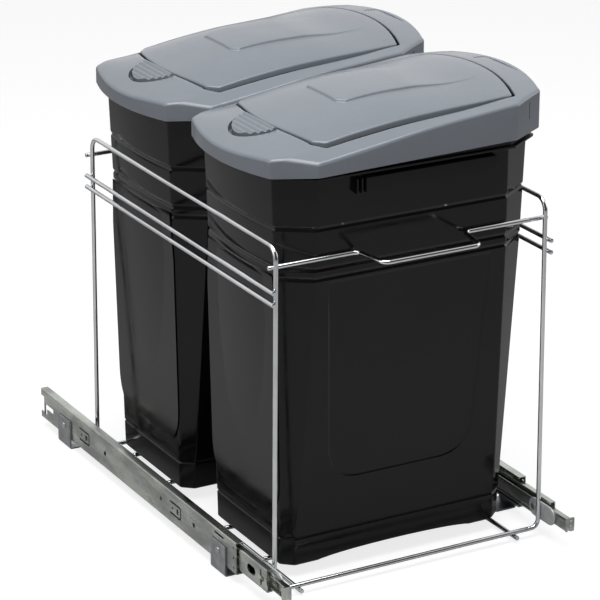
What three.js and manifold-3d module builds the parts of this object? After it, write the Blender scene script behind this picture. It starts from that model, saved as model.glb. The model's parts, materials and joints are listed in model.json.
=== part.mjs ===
// Pull-out trash cabinet unit: a chromed wire basket on a pair of ball-bearing slides,
// carrying two black bins with hinged, latched lids.
//
// Millimetres, +Z up. The basket pulls out towards -Y and the lid hinges lie at +X.
// The sizes below are measured from three datums: the middle of the basket (X = 0), the
// plane of the front posts (Y = 0) and the centre line of the front bottom wire (Z = 0).
// The last lines move the whole unit so that its origin is under its middle, on the floor.

import * as THREE from "three";
import { mergeVertices } from "three/addons/utils/BufferGeometryUtils.js";
import Module from "manifold-3d";

// ---------------------------------------------------------------- driving dimensions

const clearance = 0.3; // between pieces that touch or are welded together

// wire basket
const wireDiameter = 5;
const basketWidth = 330; // post centre to post centre at the floor of the basket
const basketHeight = 380; // centre line of the top side wires
const postLean = 3.1; // how far each post leans inwards at the top
const topBendRadius = 14;
const bottomBendRadius = 9;
const sideWireDrops = { upper: 46, lower: 59 }; // below the top side wires
const wireStub = 6; // how far a welded wire runs past the wire it crosses
const handleDrop = 22; // the pull's wire below the top side wires
const handleReach = 43; // how far the pull stands forward of its wire
const handleGripWidth = 114;
const handleRootWidth = 128;
const handleBendRadius = 8;
const runnerWireSpacing = 270; // the two long wires under the bins
const crossWireInset = 45; // from the middle of a bin to each wire that carries it

// telescopic slides
const slideLength = 500;
const slideHeight = 37;
const slideDepth = 12.7;
const slideFrontSetback = 52.5; // front end of the fixed member, behind the front posts
const sheet = 1.2; // sheet thickness of the members
const middleShortfall = 20; // the middle member is this much shorter
const drawnOut = 97.5; // how far the basket is pulled out here
const middleShare = 0.65; // of that travel, the part that the middle members make
const ballDiameter = 3.8;
const ballsPerRow = 3;
const ballPitch = 28;
const cageSheet = 0.8;
const screwDiameter = 5;
const frontScrewSetbacks = [98, 178]; // screw holes of the fixed member, from its front end
const rearScrewSetbacks = [75, 178]; // and from its rear end
const frontClipSetback = 142; // the sprung tongues, middle to the nearer end
const rearClipSetback = 122;
const clipLength = 27;
const clipHeight = 16;
const clipSlot = 2.4; // width of the U-shaped slot round a tongue
const middleHoles = [
  { setback: 34, length: 18, height: 10 },
  { setback: 9, length: 10, height: 5 },
];

// feet and brackets
const footWidth = 33;
const footSheet = 1.8;
const footRise = 24; // top of the upright leaf above the datum
const floorDrop = 11; // underside of the foot below the datum
const footReach = 33; // length of the leaf on the floor
const footHoleDiameter = 5.5;
const footHoleInset = 10; // from the toe of the leaf
const footNose = 8; // corner cuts of the leaf
const footRivetHeight = 14;
const footFrontInset = 38; // centre of the front foot behind the end of the slide
const footRearInset = 68.5;
const rivetDiameter = 4;
const rivetHeadDiameter = 8;
const rivetHeadHeight = 1.2;
const rivetTailHeight = 0.7; // the flattened end, inside the fixed member
const plateLength = 50;
const plateHeight = 21;
const plateSheet = 2;
const plateOffset = 2; // middle of a plate beyond its post
const plateRivetInset = 14; // its rivet within the basket, from the post
const endPlateWidth = 11;
const endPlateHeight = 16;
const endPlateSheet = 1.5;

// bins
const binHeight = 454;
const binWall = 2.2;
const binPlay = 0.7; // between a bin and the wire across the front or the rear
const binSidestep = { front: 3.5, rear: 1.5 }; // the bins stand a little to the right
const baseSetback = 11.5; // the foot lies this far behind the middle of the rim
const footRing = 6.5; // height of the ring that the floor is raised on
const footArch = 6; // rise of the arch in the front and back of the foot ring
const footArchInset = 30; // from the cut corners to the ends of the arch
const baseHalfLength = 137;
const baseHalfDepth = 82;
const baseCutLength = 12.5; // corner cut, along X and along Y
const baseCutDepth = 11;
const rimHalfLength = 153.5;
const rimHalfDepth = 102.8;
const rimCutLength = 41;
const rimCutDepth = 27.5;
const endBow = 5; // how far the short ends bow outwards at the rim
const flangeDrop = 14.5; // underside of the outward flange, below the rim
const flangeThickness = 3;
const flangeReach = 5.5;
const grooveDrops = [123, 112, 68]; // below the rim
const grooveDepth = 1.2;
const grooveHalfWidth = 3;
const creaseHeight = 33;
const rimStep = 2; // the rim above the flange stands this far outside the wall
const gripDrop = 34; // underside of the moulded grip on the long sides, below the rim
const gripLip = 16; // height of its lip
const gripReach = 8;
const gripStart = -62;
const gripEnd = 95;
const gripEndBlock = 11;
const panelDepth = 0.9; // of the recessed panels in the four faces
const panelCorner = 42; // how far the round lower corners of a panel reach
const sidePanel = { foot: 93, halfAtFoot: 88, halfAtTop: 99 };
const endPanel = { foot: 57, halfAtFoot: 67, halfAtTop: 68.5 };

// lids
const lidHalfLength = 162.5;
const lidHalfDepth = 111;
const lidCutLength = 44;
const lidCutDepth = 25;
const lidBow = 14;
const lidSkin = 2.2;
const domePower = 2.6; // how square the dome is across the opening
const lidOverlap = 10.8; // skirt edge at the latch end, below the bin's rim
const lidSeatRise = 7; // the skirt edge climbs this much to the hinge end
const seatRibThickness = 3; // of the four ribs under the border that stand on the bin's rim
const seatRibSpacing = 190;
const openingLeft = -112;
const openingLeftBow = 13;
const openingRight = 127;
const openingRightBow = 14;
const openingHalfDepth = 93;
const openingCorner = 12;
const lidGap = 8; // between the lids of neighbouring bins
const flapGap = 2.4;
const islandStart = -54;
const islandEnd = 130;
const islandHalfDepth = 38;
const islandHeight = 2.8;
const islandCorner = 8;
const islandFade = 90; // over this length it runs out towards the hinge
const latchHalfWidth = 33;
const latchLength = 30;
const latchTravel = 4;
const latchDepth = 7;
const latchRibs = 5;
const latchRibHeight = 1.6;
const hingeX = 118;
const hingeDrop = 6.6; // hinge axis below the border beside the flap
const hingePinDiameter = 4;
const hingeBarrelDiameter = 9;
const hingeBarrelLength = 16;
const hingeBarrelOffset = 70; // from the middle of the flap to each barrel
const labelStart = 151; // the shallow bare recess in the border at the hinge end
const labelLength = 18;
const labelHalfWidth = 33;
const labelCorner = 6;
const labelDepth = 0.5;
const drainHeight = 18; // of the slot in each cut corner at the hinge end
const drainWidth = 2;
const drainDrop = 7; // top of the slot below the skin

// heights of the lid's skin above the rim of the bin, along its length:
// beside the opening, how much the middle is domed, how much the outer edge drops,
// and how much the hinge end and the flap's long edges stand above that
const shoulderLine = [
  [-176, 5], [-150, 10], [-112, 13.5], [-60, 20.5], [0, 27], [70, 31], [128, 35], [176, 32.5],
];
const domeLine = [
  [-176, 0], [-150, 6], [-125, 10], [-95, 15.5], [-50, 20], [25, 17], [80, 8.5], [140, 2], [176, 0],
];
const edgeDropLine = [[-176, 7], [-118, 8], [-60, 8], [0, 5], [40, 2.5], [80, 1], [176, 0.5]];
const crownLine = [[20, 0], [80, 4], [126, 9], [176, 12]]; // the hinge end is arched across
const flapRiseLine = [[-112, 2], [-95, 3.5], [60, 3.5], [105, 1], [124, 0]];

// ---------------------------------------------------------------- sizes that follow

const wireRadius = wireDiameter / 2;
const weldOffset = wireDiameter + clearance; // centre to centre of two crossed wires
const sideWireHeights = {
  upper: basketHeight - sideWireDrops.upper,
  lower: basketHeight - sideWireDrops.lower,
};
const handleHeight = basketHeight - handleDrop;
const plateFace = basketWidth / 2 + wireRadius + clearance; // inner face of the joining plates
const slideSpan = 2 * (plateFace + plateSheet + clearance + slideDepth); // over the pair
const binStand = wireRadius + clearance; // the foot of a bin above its cross wires' middle
const binReach = THREE.MathUtils.lerp(baseHalfDepth, rimHalfDepth, (handleHeight - binStand) / binHeight);
const binPitch = 2 * lidHalfDepth + lidGap; // middle of one bin to middle of the next
const frontBinSetback = weldOffset + wireRadius + binPlay + binReach; // behind the front posts
const basketDepth = frontBinSetback + binPitch + binReach + binPlay + wireRadius - weldOffset;
const slideCentreHeight = slideHeight / 2;
const middleLength = slideLength - middleShortfall;
const slideFront = slideFrontSetback;
const slideRear = slideFront + slideLength;
const innerFront = slideFront - drawnOut;
const middleFront = slideFront - middleShare * drawnOut;
const flangeHeight = binHeight - flangeDrop;
const grooveHeights = grooveDrops.map((drop) => binHeight - drop);
const gripHeight = binHeight - gripDrop;
const lidSeat = binHeight - lidOverlap;
const shoulder = profile(shoulderLine);
const dome = profile(domeLine);
const edgeDrop = profile(edgeDropLine);
const crown = profile(crownLine);
const flapRise = profile(flapRiseLine);
const hingeHeight = skin(hingeX, openingHalfDepth) - hingeDrop;

// ---------------------------------------------------------------- solids

const wasm = await Module();
wasm.setup();

// a three.js geometry as a solid that can be cut and joined
function solid(geometry) {
  const bare = geometry.index ? geometry.toNonIndexed() : geometry.clone();
  bare.deleteAttribute("normal");
  bare.deleteAttribute("uv");
  const merged = mergeVertices(bare, 1e-4);
  return new wasm.Manifold(
    new wasm.Mesh({
      numProp: 3,
      vertProperties: merged.attributes.position.array,
      triVerts: new Uint32Array(merged.index.array),
    }),
  );
}

// a cut solid as a three.js geometry again
function geometryOf(body) {
  const mesh = body.getMesh();
  const geometry = new THREE.BufferGeometry();
  geometry.setAttribute("position", new THREE.BufferAttribute(Float32Array.from(mesh.vertProperties), 3));
  geometry.setIndex(Array.from(mesh.triVerts));
  geometry.computeVertexNormals();
  return geometry;
}

const joined = (first, ...others) => others.reduce((body, other) => body.add(other), first);
const cut = (first, ...tools) => tools.reduce((body, tool) => body.subtract(tool), first);

// a named piece in the tree
function piece(parent, name, body, finish) {
  const geometry = body.isBufferGeometry ? body : geometryOf(body);
  const mesh = new THREE.Mesh(geometry, new THREE.MeshStandardMaterial(finish));
  mesh.name = name;
  parent.add(mesh);
  return mesh;
}

const chrome = { color: 0xd9dadc, roughness: 0.12, metalness: 1 };
const zinc = { color: 0xb3b7b6, roughness: 0.35, metalness: 1 };
const darkZinc = { color: 0x8d9195, roughness: 0.4, metalness: 1 };
const steelBall = { color: 0xc4c6c8, roughness: 0.15, metalness: 1 };
const blackPlastic = { color: 0x1b1a1b, roughness: 0.2, metalness: 0 };
const greyPlastic = { color: 0x868d96, roughness: 0.35, metalness: 0 };

// ---------------------------------------------------------------- drawing helpers

// stations from end to end, so many equal steps in each stretch
function spread(ends, steps) {
  const stretches = steps.map((count, i) =>
    Array.from({ length: count }, (_, k) => THREE.MathUtils.lerp(ends[i], ends[i + 1], k / count)),
  );
  return [...stretches.flat(), ends.at(-1)];
}

// a smooth curve through a few [position, value] points, flat outside them
function profile(points) {
  const slope = (i) => {
    const before = points[Math.max(i - 1, 0)];
    const after = points[Math.min(i + 1, points.length - 1)];
    return (after[1] - before[1]) / (after[0] - before[0]);
  };
  return (x) => {
    if (x <= points[0][0]) return points[0][1];
    const next = points.findIndex((point) => point[0] > x);
    if (next < 0) return points.at(-1)[1];
    const [x0, y0] = points[next - 1];
    const [x1, y1] = points[next];
    const span = x1 - x0;
    const t = (x - x0) / span;
    const rise = y1 - y0;
    const bend = t * (1 - t);
    const bulge = (1 - t) * (slope(next - 1) * span - rise) - t * (slope(next) * span - rise);
    return y0 + rise * t + bend * bulge;
  };
}

const vectors = (pairs) => pairs.map(([x, y]) => new THREE.Vector2(x, y));

// points on a shallow arc from a to b that bows out to the right of its run
function bowed(a, b, bow, steps) {
  const along = new THREE.Vector2().subVectors(b, a);
  const out = new THREE.Vector2(along.y, -along.x).normalize();
  return Array.from({ length: steps }, (_, i) => {
    const t = i / steps;
    return a.clone().addScaledVector(along, t).addScaledVector(out, 4 * bow * t * (1 - t));
  });
}

// a long plan with cut corners and bowed ends, counter-clockwise, the same number of
// points whatever its size, so that plans at several heights can be joined into a wall
function cutCornerPlan(halfLength, halfDepth, cutLength, cutDepth, bow, softness = 4) {
  const [a, b] = [halfLength, halfDepth];
  const [c, d] = [halfLength - cutLength, halfDepth - cutDepth];
  const corners = vectors([[-a, -d], [-c, -b], [c, -b], [a, -d], [a, d], [c, b], [-c, b], [-a, d]]);
  const steps = [1, 1, 1, 6, 1, 1, 1, 6];
  const bows = [0, 0, 0, bow, 0, 0, 0, bow];
  const outline = [];
  corners.forEach((start, i) => {
    const end = corners[(i + 1) % corners.length];
    const side = new THREE.Vector2().subVectors(end, start).normalize().multiplyScalar(softness);
    const [first, last] = [start.clone().add(side), end.clone().sub(side)];
    outline.push(...bowed(first, last, bows[i], steps[i]), last);
  });
  return outline;
}

const shapeOf = (pairs) => new THREE.Shape(vectors(pairs));
const rectangle = (x0, y0, x1, y1) => shapeOf([[x0, y0], [x1, y0], [x1, y1], [x0, y1]]);
const extruded = (shape, depth, curveSegments) =>
  new THREE.ExtrudeGeometry(shape, { depth, bevelEnabled: false, curveSegments });

// an upright prism over a plan drawn in X and Y
function prism(shape, bottom, top, curveSegments = 6) {
  return solid(extruded(shape, top - bottom, curveSegments).translate(0, 0, bottom));
}

// a bar along Y with its section drawn in X and Z
function barAlongY(shape, from, to, curveSegments = 6) {
  const geometry = extruded(shape, to - from, curveSegments);
  const turn = new THREE.Matrix4().makeBasis(
    new THREE.Vector3(1, 0, 0),
    new THREE.Vector3(0, 0, 1),
    new THREE.Vector3(0, -1, 0),
  );
  return solid(geometry.applyMatrix4(turn).translate(0, to, 0));
}

// a plate or hole along X with its outline drawn in Y and Z
function plateAlongX(shape, from, to, curveSegments = 4) {
  const low = Math.min(from, to);
  const geometry = extruded(shape, Math.abs(to - from), curveSegments);
  const turn = new THREE.Matrix4().makeBasis(
    new THREE.Vector3(0, 1, 0),
    new THREE.Vector3(0, 0, 1),
    new THREE.Vector3(1, 0, 0),
  );
  return solid(geometry.applyMatrix4(turn).translate(low, 0, 0));
}

function disc(x, y, radius) {
  const shape = new THREE.Shape();
  shape.absarc(x, y, radius, 0, 2 * Math.PI);
  return shape;
}

// a slot or plate with round ends, long along its first axis
function stadium(x, y, length, height) {
  const shape = new THREE.Shape();
  const [run, radius] = [(length - height) / 2, height / 2];
  shape.absarc(x + run, y, radius, -Math.PI / 2, Math.PI / 2);
  shape.absarc(x - run, y, radius, Math.PI / 2, 1.5 * Math.PI);
  return shape;
}

// a wire bent round filleted corners: each straight run is one step, each bend several
class BentWire extends THREE.Curve {
  constructor(corners, radii, bendSteps = 4) {
    super();
    this.stations = [];
    const add = (point, tangent) => this.stations.push({ point, tangent });
    corners.forEach((corner, i) => {
      const before = corners[i - 1];
      const after = corners[i + 1];
      const into = before && new THREE.Vector3().subVectors(corner, before).normalize();
      const onward = after && new THREE.Vector3().subVectors(after, corner).normalize();
      if (!into || !onward) return add(corner, into ?? onward);
      const turn = into.angleTo(onward);
      const axis = new THREE.Vector3().crossVectors(into, onward).normalize();
      const radius = radii[i - 1];
      const centre = corner
        .clone()
        .addScaledVector(into, -radius * Math.tan(turn / 2))
        .addScaledVector(new THREE.Vector3().crossVectors(axis, into), radius);
      for (let k = 0; k <= bendSteps; k++) {
        const tangent = into.clone().applyAxisAngle(axis, (turn * k) / bendSteps);
        const spoke = new THREE.Vector3().crossVectors(tangent, axis).multiplyScalar(radius);
        add(centre.clone().add(spoke), tangent);
      }
    });
  }

  station(u) {
    return this.stations[Math.round(u * (this.stations.length - 1))];
  }

  getPointAt(u) {
    return this.station(u).point.clone();
  }

  getTangentAt(u) {
    return this.station(u).tangent.clone();
  }
}

function wire(corners, radii = []) {
  const extrudePath = new BentWire(corners.map((corner) => new THREE.Vector3(...corner)), radii);
  const steps = extrudePath.stations.length - 1;
  const section = disc(0, 0, wireRadius);
  return new THREE.ExtrudeGeometry(section, { steps, extrudePath, bevelEnabled: false, curveSegments: 4 });
}

// a wall built up from plans at several heights, closed at both ends
function loft(rings) {
  const position = [];
  const index = [];
  const count = rings[0].plan.length;
  for (const { plan, height, shift = 0 } of rings) {
    for (const { x, y } of plan) position.push(x, y + shift, height);
  }
  for (let ring = 0; ring < rings.length - 1; ring++) {
    for (let i = 0; i < count; i++) {
      const [a, b] = [ring * count + i, ring * count + ((i + 1) % count)];
      index.push(a, b, b + count, a, b + count, a + count);
    }
  }
  const last = (rings.length - 1) * count;
  const ends = [rings[0], rings.at(-1)].map(({ plan }) => THREE.ShapeUtils.triangulateShape(plan, []));
  for (const [a, b, c] of ends[0]) index.push(c, b, a);
  for (const [a, b, c] of ends[1]) index.push(last + a, last + b, last + c);
  const geometry = new THREE.BufferGeometry();
  geometry.setAttribute("position", new THREE.Float32BufferAttribute(position, 3));
  geometry.setIndex(index);
  return solid(geometry);
}

// a block whose top and underside follow height functions, with a vertex at each station
function block(xStations, yStations, topAt, bottomAt) {
  const position = [];
  const index = [];
  const [columns, rows] = [xStations.length - 1, yStations.length - 1];
  const size = xStations.length * yStations.length;
  for (const heightAt of [topAt, bottomAt]) {
    for (const y of yStations) {
      for (const x of xStations) position.push(x, y, heightAt(x, y));
    }
  }
  const at = (column, row) => row * (columns + 1) + column;
  const quad = (a, b, c, d) => index.push(a, b, c, a, c, d);
  for (let row = 0; row < rows; row++) {
    for (let column = 0; column < columns; column++) {
      const [a, b] = [at(column, row), at(column + 1, row)];
      const [c, d] = [at(column + 1, row + 1), at(column, row + 1)];
      quad(a, b, c, d);
      quad(d + size, c + size, b + size, a + size);
    }
  }
  for (let column = 0; column < columns; column++) {
    const [a, b, c, d] = [at(column, 0), at(column + 1, 0), at(column, rows), at(column + 1, rows)];
    quad(a + size, b + size, b, a);
    quad(d + size, c + size, c, d);
  }
  for (let row = 0; row < rows; row++) {
    const [a, b, c, d] = [at(0, row), at(0, row + 1), at(columns, row), at(columns, row + 1)];
    quad(b + size, a + size, a, b);
    quad(c + size, d + size, d, c);
  }
  const geometry = new THREE.BufferGeometry();
  geometry.setAttribute("position", new THREE.Float32BufferAttribute(position, 3));
  geometry.setIndex(index);
  return solid(geometry);
}

// ---------------------------------------------------------------- slides

const sides = [
  { side: "left", sign: -1 },
  { side: "right", sign: 1 },
];

// a section drawn as [depth from the slide's outer face, height from its centre] points
function slideSection(points, sign) {
  const outer = (sign * slideSpan) / 2;
  return shapeOf(points.map(([depth, height]) => [outer - sign * depth, slideCentreHeight + height]));
}

// a channel of sheet: web at one depth, flanges to another, and lips turned in at their ends
function channel(web, mouth, halfHeight, lip) {
  const inwards = Math.sign(mouth - web);
  const [inner, lipFace] = [web + inwards * sheet, mouth - inwards * sheet];
  const turnedIn = [[mouth, halfHeight - lip], [lipFace, halfHeight - lip], [lipFace, halfHeight - sheet]];
  const edge = lip > sheet ? turnedIn : [[mouth, halfHeight - sheet]];
  const upper = [[web, halfHeight], [mouth, halfHeight], ...edge, [inner, halfHeight - sheet]];
  const lower = upper.map(([depth, height]) => [depth, -height]).reverse();
  return [...upper, ...lower];
}

const outerMouth = 9.8;
const outerLip = 3.6;
const raceGap = ballDiameter + 2 * 0.25; // between the races that a row of balls runs in
const middleHalfHeight = slideHeight / 2 - sheet - raceGap;
const middleWeb = 2.8;
const middleMouth = 10.4;
const middleLip = 3.2;
const innerHalfHeight = middleHalfHeight - sheet - raceGap;
const innerMouth = 5.8;
const outerBallDepth = 5;
const innerBallDepth = 7;
const outerRow = slideHeight / 2 - sheet - raceGap / 2; // height of a row of balls over the centre
const innerRow = middleHalfHeight - sheet - raceGap / 2;
// each cage rests midway along the stretch that its two members share
const outerCageMiddle = (slideFront + middleFront + middleLength) / 2;
const innerCageMiddle = (middleFront + innerFront + slideLength) / 2;

// a hole or slot through the web of a slide member
const webCut = (shape, sign, web) =>
  plateAlongX(shape, sign * (slideSpan / 2 - web + 1), sign * (slideSpan / 2 - web - sheet - 1), 4);

// the U-shaped slot that frees a sprung tongue, whose root is to the rear
function tongueSlot(y) {
  const [front, rear, half] = [y - clipLength / 2, y + clipLength / 2, clipHeight / 2];
  const [middle, inner] = [slideCentreHeight, half - clipSlot];
  const shape = new THREE.Shape();
  shape.moveTo(rear, middle + half);
  shape.absarc(front + half, middle, half, Math.PI / 2, 1.5 * Math.PI);
  shape.lineTo(rear, middle - half);
  shape.lineTo(rear, middle - inner);
  shape.absarc(front + half, middle, inner, 1.5 * Math.PI, Math.PI / 2, true);
  shape.lineTo(rear, middle + inner);
  return shape;
}

function outerMember(sign) {
  const section = channel(0, outerMouth, slideHeight / 2, outerLip);
  const member = barAlongY(slideSection(section, sign), slideFront, slideRear);
  const frontScrews = frontScrewSetbacks.map((setback) => slideFront + setback);
  const rearScrews = rearScrewSetbacks.map((setback) => slideRear - setback);
  const holes = [
    ...footPositions().map((y) => disc(y, footRivetHeight, rivetDiameter / 2 + clearance)),
    ...[...frontScrews, ...rearScrews].map((y) => disc(y, slideCentreHeight, screwDiameter / 2)),
    tongueSlot(slideFront + frontClipSetback),
    tongueSlot(slideRear - rearClipSetback),
    rectangle(slideRear - 8, slideCentreHeight - 10, slideRear + 1, slideCentreHeight + 10),
    latchCut(),
  ];
  return cut(member, ...holes.map((shape) => webCut(shape, sign, 0)));
}

// the bent cut near the rear end, where the drawn-in basket is caught
function latchCut() {
  const bend = [[-34, -4], [-16, -4], [-16, -12], [-11, -12], [-11, 2], [-34, 2]];
  return shapeOf(bend.map(([y, z]) => [slideRear + y, slideCentreHeight + z]));
}

function middleMember(sign) {
  const section = channel(middleWeb, middleMouth, middleHalfHeight, middleLip);
  const member = barAlongY(slideSection(section, sign), middleFront, middleFront + middleLength);
  const holes = middleHoles.map(({ setback, length, height }) =>
    stadium(middleFront + setback, slideCentreHeight, length, height),
  );
  return cut(member, ...holes.map((shape) => webCut(shape, sign, middleWeb)));
}

function innerMember(sign) {
  const section = channel(slideDepth, innerMouth, innerHalfHeight, sheet);
  const member = barAlongY(slideSection(section, sign), innerFront, innerFront + slideLength);
  const radius = rivetDiameter / 2 + clearance;
  const holes = platePositions().map(({ rivet }) => disc(rivet, slideCentreHeight, radius));
  return cut(member, ...holes.map((shape) => webCut(shape, sign, slideDepth - sheet)));
}

// a sheet cage with the balls of both rows set in it
function ballCage(sign, web, depth, rowHeight, middle) {
  const outer = (sign * slideSpan) / 2;
  const halfLength = ((ballsPerRow - 1) * ballPitch) / 2 + ballDiameter + 2;
  const mouth = depth + ballDiameter / 2;
  const tall = rowHeight + cageSheet / 2;
  const webSheet = web < middleWeb ? cageSheet / 2 : cageSheet;
  const upper = [[web, tall], [mouth, tall], [mouth, tall - cageSheet], [web + webSheet, tall - cageSheet]];
  const section = [...upper, ...upper.map(([across, height]) => [across, -height]).reverse()];
  const balls = [];
  for (let i = 0; i < ballsPerRow; i++) {
    for (const row of [-1, 1]) {
      const ball = new THREE.SphereGeometry(ballDiameter / 2, 6, 3);
      const y = middle + (i - (ballsPerRow - 1) / 2) * ballPitch;
      balls.push(solid(ball.translate(outer - sign * depth, y, slideCentreHeight + row * rowHeight)));
    }
  }
  return joined(barAlongY(slideSection(section, sign), middle - halfLength, middle + halfLength), ...balls);
}

// ---------------------------------------------------------------- feet and brackets

const footPositions = () => [slideFront + footFrontInset, slideRear - footRearInset];
const footFace = slideSpan / 2 + clearance;

function foot(sign, y) {
  const inner = sign * footFace;
  const outer = sign * (footFace + footSheet);
  const half = footWidth / 2;
  const side = rectangle(Math.min(inner, outer), -floorDrop, Math.max(inner, outer), footRise);
  const upright = barAlongY(side, y - half, y + half);
  const toe = outer - sign * footReach;
  const nose = toe + sign * footNose;
  const edge = [[outer, half], [nose, half], [toe, half - footNose]];
  const leaf = [...edge, ...edge.map(([x, along]) => [x, -along]).reverse()];
  const plan = shapeOf(leaf.map(([x, along]) => [x, y + along]));
  const [low, high] = [-floorDrop, footSheet - floorDrop];
  const screwHole = prism(disc(toe + sign * footHoleInset, y, footHoleDiameter / 2), low - 1, high + 1);
  const rivetShape = disc(y, footRivetHeight, rivetDiameter / 2 + clearance);
  const rivetHole = plateAlongX(rivetShape, inner - sign, outer + sign);
  return cut(joined(upright, prism(plan, low, high)), rivetHole, screwHole);
}

// a turned rivet along X: a shank with a flattened tail inside and a round head outside
function rivet(sign, y, z, innerFace, outerFace) {
  const [low, high] = [innerFace - clearance, outerFace + clearance];
  const [shank, head] = [rivetDiameter / 2, rivetHeadDiameter / 2];
  const [tailEnd, headEnd] = [low - rivetTailHeight, high + rivetHeadHeight];
  const tail = [[0, tailEnd], [head - 0.4, tailEnd], [head, low], [shank, low]];
  const cap = [[shank, high], [head, high], [head * 0.6, headEnd], [0, headEnd]];
  const turned = new THREE.LatheGeometry(vectors([...tail, ...cap]), 8).rotateZ(-Math.PI / 2);
  if (sign < 0) turned.rotateZ(Math.PI);
  return solid(turned.translate(0, y, z));
}

const platePositions = () => [
  { place: "front", middle: -plateOffset, rivet: plateRivetInset },
  { place: "rear", middle: basketDepth + plateOffset, rivet: basketDepth - plateRivetInset },
];

function joiningPlate(sign, middle, rivetAt) {
  const outline = stadium(middle, slideCentreHeight, plateLength, plateHeight);
  const hole = disc(rivetAt, slideCentreHeight, rivetDiameter / 2 + clearance);
  const [inner, outer] = [sign * plateFace, sign * (plateFace + plateSheet)];
  return cut(plateAlongX(outline, inner, outer), plateAlongX(hole, inner - sign, outer + sign));
}

function endPlate(sign) {
  const outer = sign * (slideSpan / 2 - slideDepth + endPlateWidth);
  const inner = sign * (slideSpan / 2 - slideDepth);
  const [low, high] = [slideCentreHeight - endPlateHeight / 2, slideCentreHeight + endPlateHeight / 2];
  const notch = rectangle(inner + sign * 4 - 1.5, low - 1, inner + sign * 4 + 1.5, low + 3);
  const face = rectangle(Math.min(inner, outer), low, Math.max(inner, outer), high);
  const [front, back] = [innerFront - clearance - endPlateSheet, innerFront - clearance];
  return cut(barAlongY(face, front, back), barAlongY(notch, front - 1, back + 1));
}

// ---------------------------------------------------------------- basket

const postX = (z) => basketWidth / 2 - (postLean * z) / basketHeight;
const bottomBendEnd = basketWidth / 2 - bottomBendRadius - 4;

function sideArch(sign) {
  const [foot, top] = [sign * postX(0), sign * postX(basketHeight)];
  const end = sign * bottomBendEnd;
  const rising = [[end, 0, 0], [foot, 0, 0], [top, 0, basketHeight]];
  const falling = rising.map(([x, , z]) => [x, basketDepth, z]).reverse();
  return wire([...rising, ...falling], [bottomBendRadius, topBendRadius, topBendRadius, bottomBendRadius]);
}

function bottomWire(y) {
  const end = bottomBendEnd - clearance;
  return wire([[-end, y, 0], [end, y, 0]]);
}

function sideWire(sign, z) {
  const x = sign * (postX(z) + weldOffset);
  return wire([[x, -wireStub, z], [x, basketDepth + wireStub, z]]);
}

function handleWire() {
  const y = weldOffset;
  const end = postX(handleHeight) + wireStub;
  const [root, grip] = [handleRootWidth / 2, handleGripWidth / 2];
  const front = y - handleReach;
  const plan = [[-end, y], [-root, y], [-grip, front], [grip, front], [root, y], [end, y]];
  return wire(plan.map(([x, along]) => [x, along, handleHeight]), Array(4).fill(handleBendRadius));
}

function rearCrossbar() {
  const end = postX(handleHeight) + wireStub;
  const y = basketDepth + weldOffset;
  return wire([[-end, y, handleHeight], [end, y, handleHeight]]);
}

function runnerWire(sign) {
  const x = (sign * runnerWireSpacing) / 2;
  return wire([[x, -wireStub, -weldOffset], [x, basketDepth + wireStub, -weldOffset]]);
}

function crossWire(y) {
  const end = runnerWireSpacing / 2 + wireRadius + 0.5;
  return wire([[-end, y, 0], [end, y, 0]]);
}

// ---------------------------------------------------------------- bins

// the bin's plan at a height above its foot, pushed out or in by an offset
function binPlan(height, offset) {
  const t = height / binHeight;
  const mix = (base, rim) => THREE.MathUtils.lerp(base, rim, t);
  return cutCornerPlan(
    mix(baseHalfLength, rimHalfLength) + offset,
    mix(baseHalfDepth, rimHalfDepth) + offset,
    mix(baseCutLength, rimCutLength),
    mix(baseCutDepth, rimCutDepth),
    endBow * t,
  );
}

// the body leans forward up to its lowest groove and stands plumb above it
const binAxis = (height) => baseSetback * Math.max(0, 1 - height / grooveHeights[0]);
const binRing = (height, offset = 0) => ({ plan: binPlan(height, offset), height, shift: binAxis(height) });

function binShell() {
  const flangeTop = flangeHeight + flangeThickness;
  const grooves = grooveHeights.flatMap((height) => [
    binRing(height - grooveHalfWidth),
    binRing(height, -grooveDepth),
    binRing(height + grooveHalfWidth),
  ]);
  const shell = loft([
    binRing(footRing, -binWall - 1),
    binRing(0, -binWall - 1),
    binRing(0, -2),
    binRing(3),
    binRing(creaseHeight - 2),
    binRing(creaseHeight, -1),
    binRing(creaseHeight + 2),
    ...grooves,
    binRing(flangeHeight),
    binRing(flangeHeight, flangeReach),
    binRing(flangeTop, flangeReach),
    binRing(flangeTop, rimStep),
    binRing(binHeight, rimStep),
    binRing(binHeight, rimStep - binWall),
    binRing(flangeHeight, -binWall),
    binRing(grooveHeights[0], -binWall),
    binRing(footRing + binWall, -binWall),
  ]);
  return joined(cut(shell, footArchCut(), ...panelCuts()), ...[-1, 1].map((face) => grip(face)));
}

// the recessed panels: each outline cut a little way into a long side or an end
function panelCuts() {
  const top = grooveHeights[0] - grooveHalfWidth - 2;
  const [low, high] = [endPanel.foot - 5, top + 2];
  const proud = loft([binRing(low, 10), binRing(high, 10)]);
  const around = cut(proud, loft([binRing(low - 1, -panelDepth), binRing(high + 1, -panelDepth)]));
  const reach = 2 * rimHalfLength;
  const [side, end] = [sidePanel, endPanel].map((size) => panelOutline(size, top));
  const leaning = end.map(([y, z]) => [y + binAxis(z), z]);
  return [-1, 1].flatMap((face) => [
    barAlongY(shapeOf(side), Math.min(0, face * reach), Math.max(0, face * reach)).intersect(around),
    plateAlongX(shapeOf(leaning), 0, face * reach).intersect(around),
  ]);
}

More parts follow.
